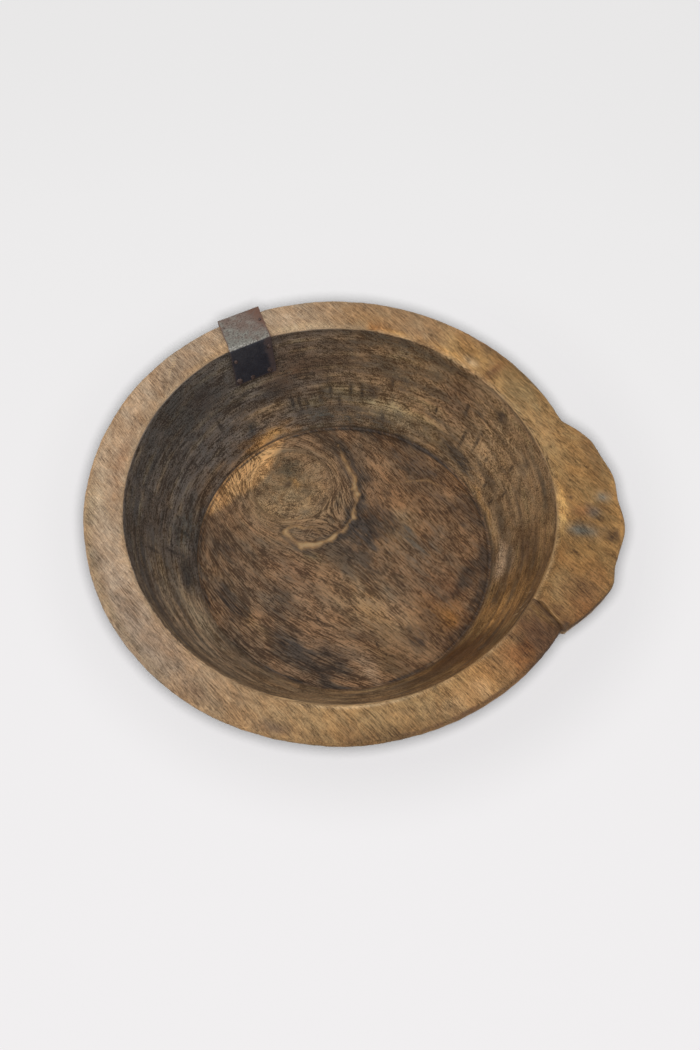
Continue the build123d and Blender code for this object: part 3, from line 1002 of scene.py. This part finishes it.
def worn_edge(points, zones):
    """How far the rim's inner edge is worn outwards at each point, fading down the wall and over the rim."""
    x, y, z = points.T
    azimuth = np.degrees(np.arctan2(y, x))
    moved = smooth_curve(azimuth, WORN_EDGE) - INNER_RADIUS
    on_wall = ease((z - RIM_HEIGHT) / WEAR_DOWN + 1)
    on_rim = ease(1 - (np.hypot(x, y) - INNER_RADIUS) / WEAR_ACROSS)
    moved *= np.where(zones == WALL, on_wall, np.where(zones == RIM, on_rim, 0.0))
    turn = np.radians(azimuth)
    return np.column_stack([moved * np.cos(turn), moved * np.sin(turn), np.zeros(len(x))])


def carve_bowl():
    """The bowl as one mesh, with the tints and places that its material reads."""
    points, zones, shifts, quads, fan = bowl_mesh()
    normals = point_normals(points, quads)
    count = len(points)
    relief = np.zeros(count)
    tint = np.ones((count, 4))
    soiled = np.zeros((count, 4))
    fibre, tooling, lines, grain, marks = (np.zeros((count, 3)) for _ in range(5))
    for zone, finish in ZONE_FINISHES.items():
        rows = np.flatnonzero(zones == zone)
        p = zone_points(points, shifts, rows)
        relief[rows], tint[rows, :3] = finish(p)
        fibre[rows] = np.column_stack([p.along, p.across, p.level])
        tooling[rows] = np.column_stack([p.arc, p.rise, p.radius])
        lines[rows] = np.minimum(np.column_stack([p.ridge, p.crack, p.scratch]), LINE_LIMIT)
        grain[rows] = np.column_stack([p.contrast, p.strands, p.hatch])
        marks[rows] = np.column_stack([p.streaks, p.slashes, p.rasped])
        soiled[rows] = np.column_stack([p.soil, p.dirt])
        tint[rows, 3] = p.mottled
    carved = points + normals * relief[:, None] + worn_edge(points, zones)
    carved[:, 2] = np.maximum(carved[:, 2], 0)
    faces = quads.tolist() + fan.tolist()
    bowl = new_piece("carved_bowl", carved, faces)
    bowl.data.set_sharp_from_angle(angle=math.radians(SMOOTH_ANGLE))
    set_attribute(bowl, "tint", "FLOAT_COLOR", tint)
    set_attribute(bowl, "soil", "FLOAT_COLOR", soiled)
    vectors = {"fibre": fibre, "tooling": tooling, "lines": lines, "grain": grain, "marks": marks}
    for name, values in vectors.items():
        set_attribute(bowl, name, "FLOAT_VECTOR", values)
    bowl.data.materials.append(wood_material())
    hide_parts("bowl_body")
    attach(bowl, "root")


# Pieces

def add_object(name, data):
    """A new object in the scene."""
    piece = bpy.data.objects.new(name, data)
    bpy.context.scene.collection.objects.link(piece)
    return piece


def new_piece(name, points, faces):
    """A smooth-shaded mesh object from points in millimetres."""
    mesh = bpy.data.meshes.new(name)
    mesh.from_pydata((points / MM_PER_M).tolist(), [], faces)
    mesh.shade_smooth()
    return add_object(name, mesh)


def set_attribute(piece, name, kind, values):
    """Stores values at the mesh's points for a material to read."""
    field = {"FLOAT_COLOR": "color", "FLOAT_VECTOR": "vector"}[kind]
    attribute = piece.data.attributes.new(name, kind, "POINT")
    attribute.data.foreach_set(field, np.ascontiguousarray(values, dtype=np.float32).ravel())


# Patch and tacks

def patch_line():
    """Points along the strip's seat with rounded folds, and the side that faces away from the wood."""
    corners = np.array(PATCH_SEAT)
    runs = np.linalg.norm(np.diff(corners, axis=0), axis=1)
    marks = np.concatenate([[0], np.cumsum(runs)])
    places = np.linspace(0, marks[-1], int(marks[-1] / PATCH_STEP))
    line = np.column_stack([np.interp(places, marks, corners[:, i]) for i in range(2)])
    kernel = np.array(FOLD_ROUNDING) / sum(FOLD_ROUNDING)
    reach = len(kernel) // 2
    for i in range(2):
        line[reach:-reach, i] = np.convolve(line[:, i], kernel, mode="valid")
    run = np.gradient(line, axis=0)
    run /= np.linalg.norm(run, axis=1)[:, None]
    return line, np.column_stack([-run[:, 1], run[:, 0]]), places, marks


def patch_turn(points):
    """Turns points made beside the X axis round to the patch's place."""
    turn = Matrix.Rotation(math.radians(PATCH_AZIMUTH), 3, "Z")
    return points @ np.array(turn).T


def fold_strip():
    """The strip of sheet iron: hammered, a little ragged at its edges and lifted at its corners."""
    line, away, places, marks = patch_line()
    count_across = int(PATCH_WIDTH / PATCH_STEP)
    share = np.linspace(-1, 1, count_across)
    along, side = (part.ravel() for part in np.meshgrid(places, share, indexing="ij"))
    radius, height = np.repeat(line, count_across, axis=0).T
    out_x, out_z = np.repeat(away, count_across, axis=0).T
    skew = math.radians(PATCH_SKEW)
    flat = stretched((6, 6), along, side * PATCH_WIDTH / 2)
    ragged = STRIP_RAGGED * noise(flat * 0.8, 61, 3) * np.abs(side) ** 6
    across = side * (PATCH_WIDTH / 2 / math.cos(skew) - STRIP_TRIM + ragged)
    across += (radius - INNER_RADIUS) * math.tan(skew)
    to_end = np.minimum(along, marks[-1] - along)
    edge = np.minimum(PATCH_WIDTH / 2 * (1 - np.abs(side)), to_end)
    corner = ease(1 - (PATCH_WIDTH / 2 * (1 - np.abs(side)) + to_end) / CORNER_REACH)
    dent = STRIP_DENT + STRIP_DENT * noise(flat, 62, 3) + CORNER_LIFT * corner
    skins = []
    for lift in (PATCH_THICKNESS + dent, dent - SEAT_GAP):
        skins.append(np.column_stack([radius + out_x * lift, -across, height + out_z * lift]))
    count = len(along)
    index = np.arange(count).reshape(len(places), count_across)
    corners = (index[:-1, :-1], index[:-1, 1:], index[1:, 1:], index[1:, :-1])
    top = np.column_stack([part.ravel() for part in corners])
    border = np.concatenate([index[0, :-1], index[:-1, -1], index[-1, :0:-1], index[:0:-1, 0]])
    rim = np.column_stack([border, border + count, np.roll(border, -1) + count, np.roll(border, -1)])
    faces = np.vstack([top[:, ::-1], top + count, rim[:, ::-1]]).tolist()
    strip = new_piece("folded_strip", patch_turn(np.vstack(skins)), faces)
    strip.data.set_sharp_from_angle(angle=math.radians(METAL_SMOOTH_ANGLE))

    on_top = ((along > marks[1]) & (along < marks[2])).astype(float)
    fold = np.abs(along - marks[1])
    flat_place = np.column_stack([side * PATCH_WIDTH / 2, along, np.zeros(count)])
    marks_of = np.column_stack([edge, on_top, fold])
    set_attribute(strip, "flat", "FLOAT_VECTOR", np.vstack([flat_place, flat_place]))
    set_attribute(strip, "sheet", "FLOAT_VECTOR", np.vstack([marks_of, marks_of]))
    strip.data.materials.append(strip_material())
    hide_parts("rim_patch")
    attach(strip, "root")


def tack_places():
    """Each tack's node with its place beside the X axis, the way it faces and its head's diameter."""
    inner_end, inner_fold, outer_fold, outer_end = np.array(PATCH_SEAT)
    rows = [("top_tack", inner_fold, outer_fold, 1, TOP_TACK)]
    rows += [(f"inner_tack_{i}", inner_fold, inner_end, -1, tack) for i, tack in enumerate(INNER_TACKS, 1)]
    rows += [(f"outer_tack_{i}", outer_fold, outer_end, 1, tack) for i, tack in enumerate(OUTER_TACKS, 1)]
    for node, fold, end, outward, (across, along, head) in rows:
        run = (end - fold) / np.linalg.norm(end - fold)
        facing = np.array([-run[1], 0, run[0]]) * outward
        spot_at = fold + run * along
        seat = np.array([spot_at[0], -across, spot_at[1]]) + facing * PATCH_THICKNESS
        yield node, seat, facing, head


def forge_tack(node, seat, facing, head, seed, material):
    """A hand-made tack: a low hammered head with uneven facets over a square tapered shank."""
    segments = TACK_SEGMENTS
    turns = np.linspace(0, 2 * math.pi, segments, endpoint=False)
    circle = np.column_stack([np.cos(turns), np.sin(turns), np.zeros(segments)])
    outline = 1 - TACK_UNEVEN + TACK_UNEVEN * noise(circle * 1.6, seed, 2)
    rings = []
    for reach, lift in TACK_PROFILE:
        ring = circle * (head / 2 * reach * outline)[:, None]
        dent = TACK_DENT * noise(ring, seed + 5, 2)
        ring[:, 2] = TACK_HEAD_HEIGHT * lift * (TACK_CROWN + dent * lift)
        rings.append(ring)
    points = np.vstack([*rings, [[0, 0, 0]], [[0, 0, TACK_HEAD_HEIGHT * TACK_CROWN]]])
    faces = []
    for ring in range(len(rings) - 1):
        for i in range(segments):
            a = ring * segments + i
            b = ring * segments + (i + 1) % segments
            faces.append([a, b, b + segments, a + segments])
    low = len(rings) * segments
    high = low - segments
    for i in range(segments):
        after = (i + 1) % segments
        faces.append([after, i, low])
        faces.append([high + i, high + after, low + 1])
    start = len(points)
    square = np.array([(1, 1), (-1, 1), (-1, -1), (1, -1)]) / 2
    for size, depth in ((TACK_SHANK, SHANK_ROOT), (TACK_TIP, -TACK_LENGTH + SHANK_SHORT)):
        points = np.vstack([points, np.column_stack([square * size * SHANK_FIT, np.full(4, depth)])])
    for i in range(4):
        after = (i + 1) % 4
        faces.append([start + after, start + i, start + 4 + i, start + 4 + after])
    faces.append([start, start + 1, start + 2, start + 3])
    faces.append([start + 7, start + 6, start + 5, start + 4])
    aside = np.array([0.0, -1.0, 0.0])
    up = np.cross(facing, aside)
    placed = seat + points @ np.vstack([aside, up, facing])
    tack = new_piece(f"forged_{node}", patch_turn(placed), faces)
    tack.data.set_sharp_from_angle(angle=math.radians(METAL_SMOOTH_ANGLE))
    set_attribute(tack, "flat", "FLOAT_VECTOR", points + seed * TACK_SPACING)
    tack.data.materials.append(material)
    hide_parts(node)
    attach(tack, "root")


# Materials

DIRTY = (0.33, 0.305, 0.288)  # what dirt leaves of the tint's red, green and blue
RUBBED = (1.76, 1.83, 1.88)
COOL = (0.93, 1.00, 1.07)  # how the hue drifts
WARM = (1.07, 1.00, 0.92)
SLASH_ANGLE = -32.0  # of the scratches across the upper wall


class Graph:
    """Adds and links the nodes of one material, or of the world."""

    def __init__(self, owner):
        owner.use_nodes = True
        self.owner = owner
        self.tree = owner.node_tree
        self.tree.nodes.clear()

    def add(self, kind, inputs, **settings):
        """A node with its settings and its inputs, which are values or other nodes' outputs."""
        node = self.tree.nodes.new(kind)
        for name, value in settings.items():
            setattr(node, name, value)
        for name, value in inputs.items():
            if isinstance(value, bpy.types.NodeSocket):
                self.tree.links.new(value, node.inputs[name])
            else:
                node.inputs[name].default_value = value
        return node

    def attribute(self, name, output="Vector"):
        return self.add("ShaderNodeAttribute", {}, attribute_name=name).outputs[output]

    def parts(self, vector):
        return self.add("ShaderNodeSeparateXYZ", {"Vector": vector}).outputs

    def math(self, operation, a, b=0.0):
        return self.add("ShaderNodeMath", {0: a, 1: b}, operation=operation).outputs[0]

    def times(self, a, b):
        return self.math("MULTIPLY", a, b)

    def noise(self, vector, sizes, detail=3.0, roughness=0.55, distortion=0.0):
        """Noise around 0, from about -0.5 to 0.5, with bumps of the given sizes."""
        scaled = self.add(
            "ShaderNodeVectorMath", {0: vector, 1: tuple(1 / size for size in sizes)}, operation="MULTIPLY"
        ).outputs[0]
        inputs = {"Vector": scaled, "Scale": 1.0, "Detail": detail, "Roughness": roughness}
        inputs["Distortion"] = distortion
        return self.math("SUBTRACT", self.add("ShaderNodeTexNoise", inputs).outputs["Fac"], 0.5)

    def scratches(self, vector, sizes, spread):
        """Thin lines that run along the vector's first axis, where the spread is above its middle."""
        middle = self.math("ABSOLUTE", self.noise(vector, sizes, 2, 0.5))
        return self.times(self.step(middle, 0.030, 0.006), self.step(spread, -0.08, 0.10))

    def total(self, start, *terms):
        """A start value plus each weight times its input."""
        for weight, value in terms:
            inputs = {0: value, 1: weight, 2: start}
            start = self.add("ShaderNodeMath", inputs, operation="MULTIPLY_ADD").outputs[0]
        return start

    def step(self, value, start, end, low=0.0, high=1.0):
        """A smooth step from low to high as the value goes from start to end."""
        inputs = {"Value": value, "From Min": start, "From Max": end, "To Min": low, "To Max": high}
        return self.add("ShaderNodeMapRange", inputs, interpolation_type="SMOOTHSTEP").outputs[0]

    def mix(self, share, a, b):
        """Goes from one colour to another."""
        inputs = {0: share}
        for socket, value in ((6, a), (7, b)):
            inputs[socket] = value if isinstance(value, bpy.types.NodeSocket) else (*value, 1.0)
        return self.add("ShaderNodeMix", inputs, data_type="RGBA").outputs[2]

    def distance(self, vector, place):
        return self.add("ShaderNodeVectorMath", {0: vector, 1: place}, operation="DISTANCE").outputs["Value"]

    def turned(self, vector, angle):
        """The vector turned about its third axis."""
        inputs = {"Vector": vector, "Angle": math.radians(angle)}
        return self.add("ShaderNodeVectorRotate", inputs, rotation_type="Z_AXIS").outputs[0]

    def brighten(self, paint, amount):
        return self.add("ShaderNodeVectorMath", {0: paint, "Scale": amount}, operation="SCALE").outputs[0]

    def scale(self, paint, amounts):
        return self.add("ShaderNodeVectorMath", {0: paint, 1: amounts}, operation="MULTIPLY").outputs[0]

    def seen_directly(self):
        """1 for what the camera sees, straight, mirrored or through glass, and 0 for light."""
        rays = self.add("ShaderNodeLightPath", {}).outputs
        mirrored = self.math("MAXIMUM", rays["Is Camera Ray"], rays["Is Glossy Ray"])
        return self.math("MAXIMUM", mirrored, rays["Is Transmission Ray"])

    def finish(self, surface, height, bump):
        """Ends the graph in a surface with a bump of the given height in millimetres."""
        bumped = self.add("ShaderNodeBump", {"Strength": bump, "Distance": 1 / MM_PER_M, "Height": height})
        shader = self.add("ShaderNodeBsdfPrincipled", {**surface, "Normal": bumped.outputs[0]})
        self.add("ShaderNodeOutputMaterial", {"Surface": shader.outputs[0]})
        return self.owner


def wood_material():
    """Old wood: fibres, crossing scratches, tool marks, grime and painted shade over the painted tint, and
    painted highlights on the ridges.
    """
    g = Graph(bpy.data.materials.new("old_wood"))
    fibre = g.attribute("fibre")
    tooling = g.attribute("tooling")
    contrast, strands, hatch = g.parts(g.attribute("grain"))[:3]
    streaks, slashes, rasped = g.parts(g.attribute("marks"))[:3]
    ridge, crack, scratch = g.parts(g.attribute("lines"))[:3]
    crossed = g.turned(fibre, CROSS_ANGLE)

    strand = g.noise(fibre, (22, 1.1, 1.1), 6, 0.7, 0.2)
    hair = g.noise(fibre, (7, 0.75, 0.75), 2)
    grit = g.noise(fibre, (1.4, 1.0, 1.0), 3, 0.65)
    mottled = g.attribute("tint", "Alpha")
    mottle = g.times(mottled, g.noise(fibre, (32, 8, 8), 6, 0.68, 0.4))
    cloud = g.noise(crossed, (34, 22, 22), 5, 0.65, 0.4)
    rasp = g.times(rasped, g.noise(crossed, (7, 0.8, 0.8), 3, 0.6))
    slash = g.times(slashes, g.noise(g.turned(tooling, SLASH_ANGLE), (13, 1.5, 60), 4, 0.65))
    streak = g.noise(tooling, (40, 2.2, 60), 5, 0.65)
    scuff = g.noise(tooling, (10, 1.0, 60), 3, 0.6)
    marks = g.times(streaks, g.total(0.0, (1.1, streak), (0.8, scuff)))
    signal = g.total(
        0.0, (0.8, strand), (1.6, hair), (1.2, grit), (0.9, rasp), (1.4, mottle), (0.7, cloud), (1.1, marks),
        (1.5, slash),
    )

    dark_dash = g.times(hatch, g.scratches(fibre, (17, 2.6, 2.6), mottle))
    light_dash = g.times(hatch, g.scratches(crossed, (15, 3.4, 3.4), cloud))
    line = g.times(strands, g.step(g.noise(fibre, (55, 1.4, 1.4), 3, 0.5), 0.06, 0.12))
    swing = g.times(signal, contrast)
    share = g.total(0.5, (1.0, swing), (-0.45, dark_dash), (0.40, light_dash), (-0.45, line))
    patchy = g.total(1.0, (2.4, strand), (3.2, mottle), (1.6, grit), (2.0, marks), (1.2, rasp), (1.4, slash))
    # the dark layer: dirt, and painted shade by the ridges, the lug's step, the groove and the left wall
    dirt = g.step(g.times(g.attribute("soil", "Alpha"), patchy), 0.10, 1.0, 0.0, 0.9)
    tint = g.mix(dirt, g.attribute("tint", "Color"), g.attribute("soil", "Color"))
    paint = g.mix(share, g.scale(tint, DIRTY), g.scale(tint, RUBBED))
    drift = g.step(g.times(mottled, g.noise(fibre, (30, 17, 17), 6, 0.7, 0.4)), -0.22, 0.22)
    paint = g.mix(drift, g.scale(paint, COOL), g.scale(paint, WARM))

    crest = g.step(g.total(ridge, (6.0, mottle), (9.0, grit), (6.0, hair)), 3.4, 0.6)
    rubbed = g.step(g.total(strand, (1.0, grit)), -0.14, 0.14)
    crest_paint = g.mix(rubbed, UMBER * 0.7, colour(184, 144, 96))
    # a pale painted highlight along the ridges' crests
    top = g.step(g.total(ridge, (9.0, grit), (7.0, strand)), 1.0, -0.8, 0.0, 0.6)
    crest_paint = g.mix(top, crest_paint, colour(212, 180, 134))
    paint = g.mix(g.times(crest, 0.85), paint, crest_paint)
    split = g.step(g.total(crack, (1.6, strand)), 0.9, 0.25)
    paint = g.mix(g.times(split, 0.85), paint, SOOT * 0.4)
    scored = g.step(g.total(scratch, (0.8, hair)), 1.3, 0.5)
    paint = g.mix(g.times(scored, 0.75), paint, PALE)

    height = g.total(
        0.0, (0.30, strand), (0.30, hair), (0.22, rasp), (0.25, mottle), (0.5, marks), (-0.12, dark_dash),
        (-0.25, line), (0.4, slash), (-0.3, split),
    )
    roughness = g.total(0.62, (0.35, mottle), (0.2, strand))
    surface = {"Base Color": paint, "Roughness": roughness, "Specular IOR Level": 0.22}
    return g.finish(surface, height, 0.7)


def strip_material():
    """Sheet iron: grey and pitted on top, blue-black on its legs as painted shade and dark reflection, brown
    with rust along one side.
    """
    g = Graph(bpy.data.materials.new("sheet_iron"))
    flat = g.attribute("flat")
    edge, on_top, fold = g.parts(g.attribute("sheet"))[:3]
    across = g.parts(flat)[0]
    cloud = g.noise(flat, (11, 11, 11), 5, 0.7)
    grit = g.noise(flat, (1.5, 1.2, 1.2), 4, 0.65)
    pits = g.step(g.noise(flat, (2.2, 1.6, 1.6), 3), 0.07, 0.13)
    patchy = g.step(g.total(0.14, (1.0, cloud), (-0.009, fold), (-0.006, across)), -0.16, 0.16)
    top = g.mix(patchy, BROWN_IRON, IRON)
    # the legs get darker paint than the top: painted shade and dark reflection
    paint = g.mix(on_top, g.mix(patchy, BLUE_IRON, GREY_IRON), top)
    paint = g.brighten(paint, g.total(1.0, (0.8, cloud), (2.0, grit)))
    paint = g.mix(g.times(pits, g.step(on_top, 0.0, 1.0, 0.3, 0.7)), paint, DARK_RUST)
    beyond = g.times(on_top, g.total(-22.0, (1.0, fold)))
    right = g.step(g.total(across, (0.5, beyond)), 7.0, 21.0, 0.0, 0.85)
    near_edge = g.step(g.total(edge, (6.0, cloud)), 2.6, 0.2, 0.0, 0.7)
    rusty = g.step(g.total(g.math("MAXIMUM", near_edge, right), (1.6, cloud), (0.6, grit)), 0.3, 0.85)
    paint = g.mix(g.times(rusty, 0.8), paint, g.mix(on_top, DULL_RUST, RUST))
    # painted glints along the top's fold
    worn = g.step(g.total(fold, (5.0, cloud), (0.12, across)), 2.6, 0.4)
    worn = g.times(g.times(worn, on_top), g.step(grit, -0.02, 0.1))
    paint = g.mix(g.times(worn, 0.55), paint, GLINT)
    metal = g.step(rusty, 0.0, 1.0, 0.45, 0.1)
    roughness = g.total(0.5, (0.3, rusty), (0.25, grit))
    height = g.total(0.0, (0.35, grit), (0.3, cloud), (-0.3, pits), (0.25, rusty))
    return g.finish({"Base Color": paint, "Metallic": metal, "Roughness": roughness}, height, 0.6)


def tack_material():
    """Rusty wrought iron with flecks of grey iron as painted highlights."""
    g = Graph(bpy.data.materials.new("tack_iron"))
    flat = g.attribute("flat")
    cloud = g.noise(flat, (2.2, 2.2, 2.2), 4, 0.6)
    grit = g.noise(flat, (0.7, 0.7, 0.7), 3)
    paint = g.mix(g.step(cloud, -0.12, 0.14), DARK_RUST, DULL_RUST * 1.5)
    # pale flecks of grey iron: painted highlights on the heads
    paint = g.mix(g.step(grit, 0.03, 0.2, 0.0, 0.75), paint, IRON)
    metal = g.step(cloud, 0.16, -0.1, 0.2, 0.6)
    roughness = g.total(0.6, (0.5, grit))
    height = g.total(0.0, (0.3, cloud), (0.25, grit))
    return g.finish({"Base Color": paint, "Metallic": metal, "Roughness": roughness}, height, 0.6)


# Stage

FLOOR_SIZE = 12.0  # metres
FLOOR_GLOW = (0.05, 0.95)  # share of its look that is a pale glow, free of shadow: near the bowl, far off
FLOOR_GLOW_CENTRE = (0.012, 0.085, 0.0)  # metres, the middle of what the bowl hides of the floor
FLOOR_GLOW_REACH = (0.28, 0.36)  # metres from there, where the glow starts to take over and has done so
FLOOR_SHADE = 0.085  # how much of the glow's colour the lit floor has at 1 m from its own lamp
FLOOR_SHADE_END = 1.3  # metres from there, where the lit floor stops growing paler
FLOOR_NEAR = colour(242, 240, 241)
FLOOR_FAR = colour(235, 234, 234)
FLOOR_FADE = (-0.6, 0.8)  # metres along Y, where the far paint starts to take over and has done so
LAMP_FALLOFF = 3.0  # the lamp's light falls with the distance squared, and once more with the slant
WORLD_LIGHT = 0.60
WORLD_SEEN = 0.84
WORLD_PAINT = (1.0, 0.995, 0.995, 1.0)
KEY_PLACE = (-0.45, -0.55, 1.75)  # metres
KEY_SIZE = 1.3  # metres
KEY_WATTS = 13.0
GROUND_LAMP_SIZE = 0.15  # metres
GROUND_LAMP_WATTS = 120.0


def floor_material():
    """A pale floor that keeps the bowl's shadow and glows further off."""
    g = Graph(bpy.data.materials.new("pale_floor"))
    place = g.add("ShaderNodeTexCoord", {}).outputs["Object"]
    paint = g.mix(g.step(g.parts(place)[1], *FLOOR_FADE), FLOOR_NEAR, FLOOR_FAR)
    from_lamp = g.math("MINIMUM", g.distance(place, viewpoint().to_translation()), FLOOR_SHADE_END)
    shade = g.times(g.math("POWER", from_lamp, LAMP_FALLOFF), FLOOR_SHADE)
    lit = g.add("ShaderNodeBsdfDiffuse", {"Color": g.brighten(paint, shade)})
    glow = g.add("ShaderNodeEmission", {"Color": paint})
    away = g.distance(place, FLOOR_GLOW_CENTRE)
    share = g.times(g.seen_directly(), g.step(away, *FLOOR_GLOW_REACH, *FLOOR_GLOW))
    both = g.add("ShaderNodeMixShader", {0: share, 1: lit.outputs[0], 2: glow.outputs[0]})
    g.add("ShaderNodeOutputMaterial", {"Surface": both.outputs[0]})
    return g.owner


def add_lamp(name, size, watts):
    """A round lamp that shines down its own axis."""
    lamp = bpy.data.lights.new(name, "AREA")
    lamp.shape = "DISK"
    lamp.size = size
    lamp.energy = watts
    return add_object(name, lamp)


def set_stage():
    """A pale floor, a pale world, a wide lamp from the front left and a small one for the floor's shadow."""
    half = FLOOR_SIZE / 2 * MM_PER_M
    corners = np.array([(-half, -half, 0), (half, -half, 0), (half, half, 0), (-half, half, 0)])
    ground = new_piece("ground", corners, [[0, 1, 2, 3]])
    ground.data.materials.append(floor_material())

    g = Graph(bpy.data.worlds.new("studio"))
    bpy.context.scene.world = g.owner
    inputs = {"Value": g.seen_directly(), "To Min": WORLD_LIGHT, "To Max": WORLD_SEEN}
    strength = g.add("ShaderNodeMapRange", inputs).outputs[0]
    background = g.add("ShaderNodeBackground", {"Color": WORLD_PAINT, "Strength": strength})
    g.add("ShaderNodeOutputWorld", {"Surface": background.outputs[0]})

    key = add_lamp("key", KEY_SIZE, KEY_WATTS)
    key.location = KEY_PLACE
    key.rotation_euler = key.location.to_track_quat("Z", "Y").to_euler()
    ground_lamp = add_lamp("ground_lamp", GROUND_LAMP_SIZE, GROUND_LAMP_WATTS)
    ground_lamp.matrix_world = viewpoint()
    ground_only = bpy.data.collections.new("ground_only")
    ground_only.objects.link(ground)
    ground_lamp.light_linking.receiver_collection = ground_only


def turn_about(axis, angle):
    """A turn about one axis."""
    return Matrix.Rotation(math.radians(angle), 4, axis)


def viewpoint():
    """Where the photograph was taken from, facing the rim's centre."""
    facing = turn_about("Z", CAMERA_AZIMUTH) @ turn_about("X", 90 - CAMERA_ELEVATION)
    centre = Matrix.Translation((0, 0, RIM_HEIGHT / MM_PER_M))
    return centre @ facing @ Matrix.Translation((0, 0, CAMERA_DISTANCE / MM_PER_M))


def set_camera():
    """The photograph's viewpoint, with its small turns off the rim's centre."""
    lens = bpy.data.cameras.new("camera")
    lens.sensor_width = SENSOR
    lens.lens = LENS
    camera = add_object("camera", lens)
    aim = turn_about("Y", CAMERA_PAN) @ turn_about("X", CAMERA_TILT) @ turn_about("Z", CAMERA_ROLL)
    camera.matrix_world = viewpoint() @ aim
    bpy.context.scene.camera = camera


def main():
    carve_bowl()
    fold_strip()
    iron = tack_material()
    for seed, (node, seat, facing, head) in zip(TACK_SEEDS, tack_places(), strict=True):
        forge_tack(node, seat, facing, head, seed, iron)
    set_stage()
    set_camera()
    bpy.context.scene.view_settings.view_transform = "Standard"


main()
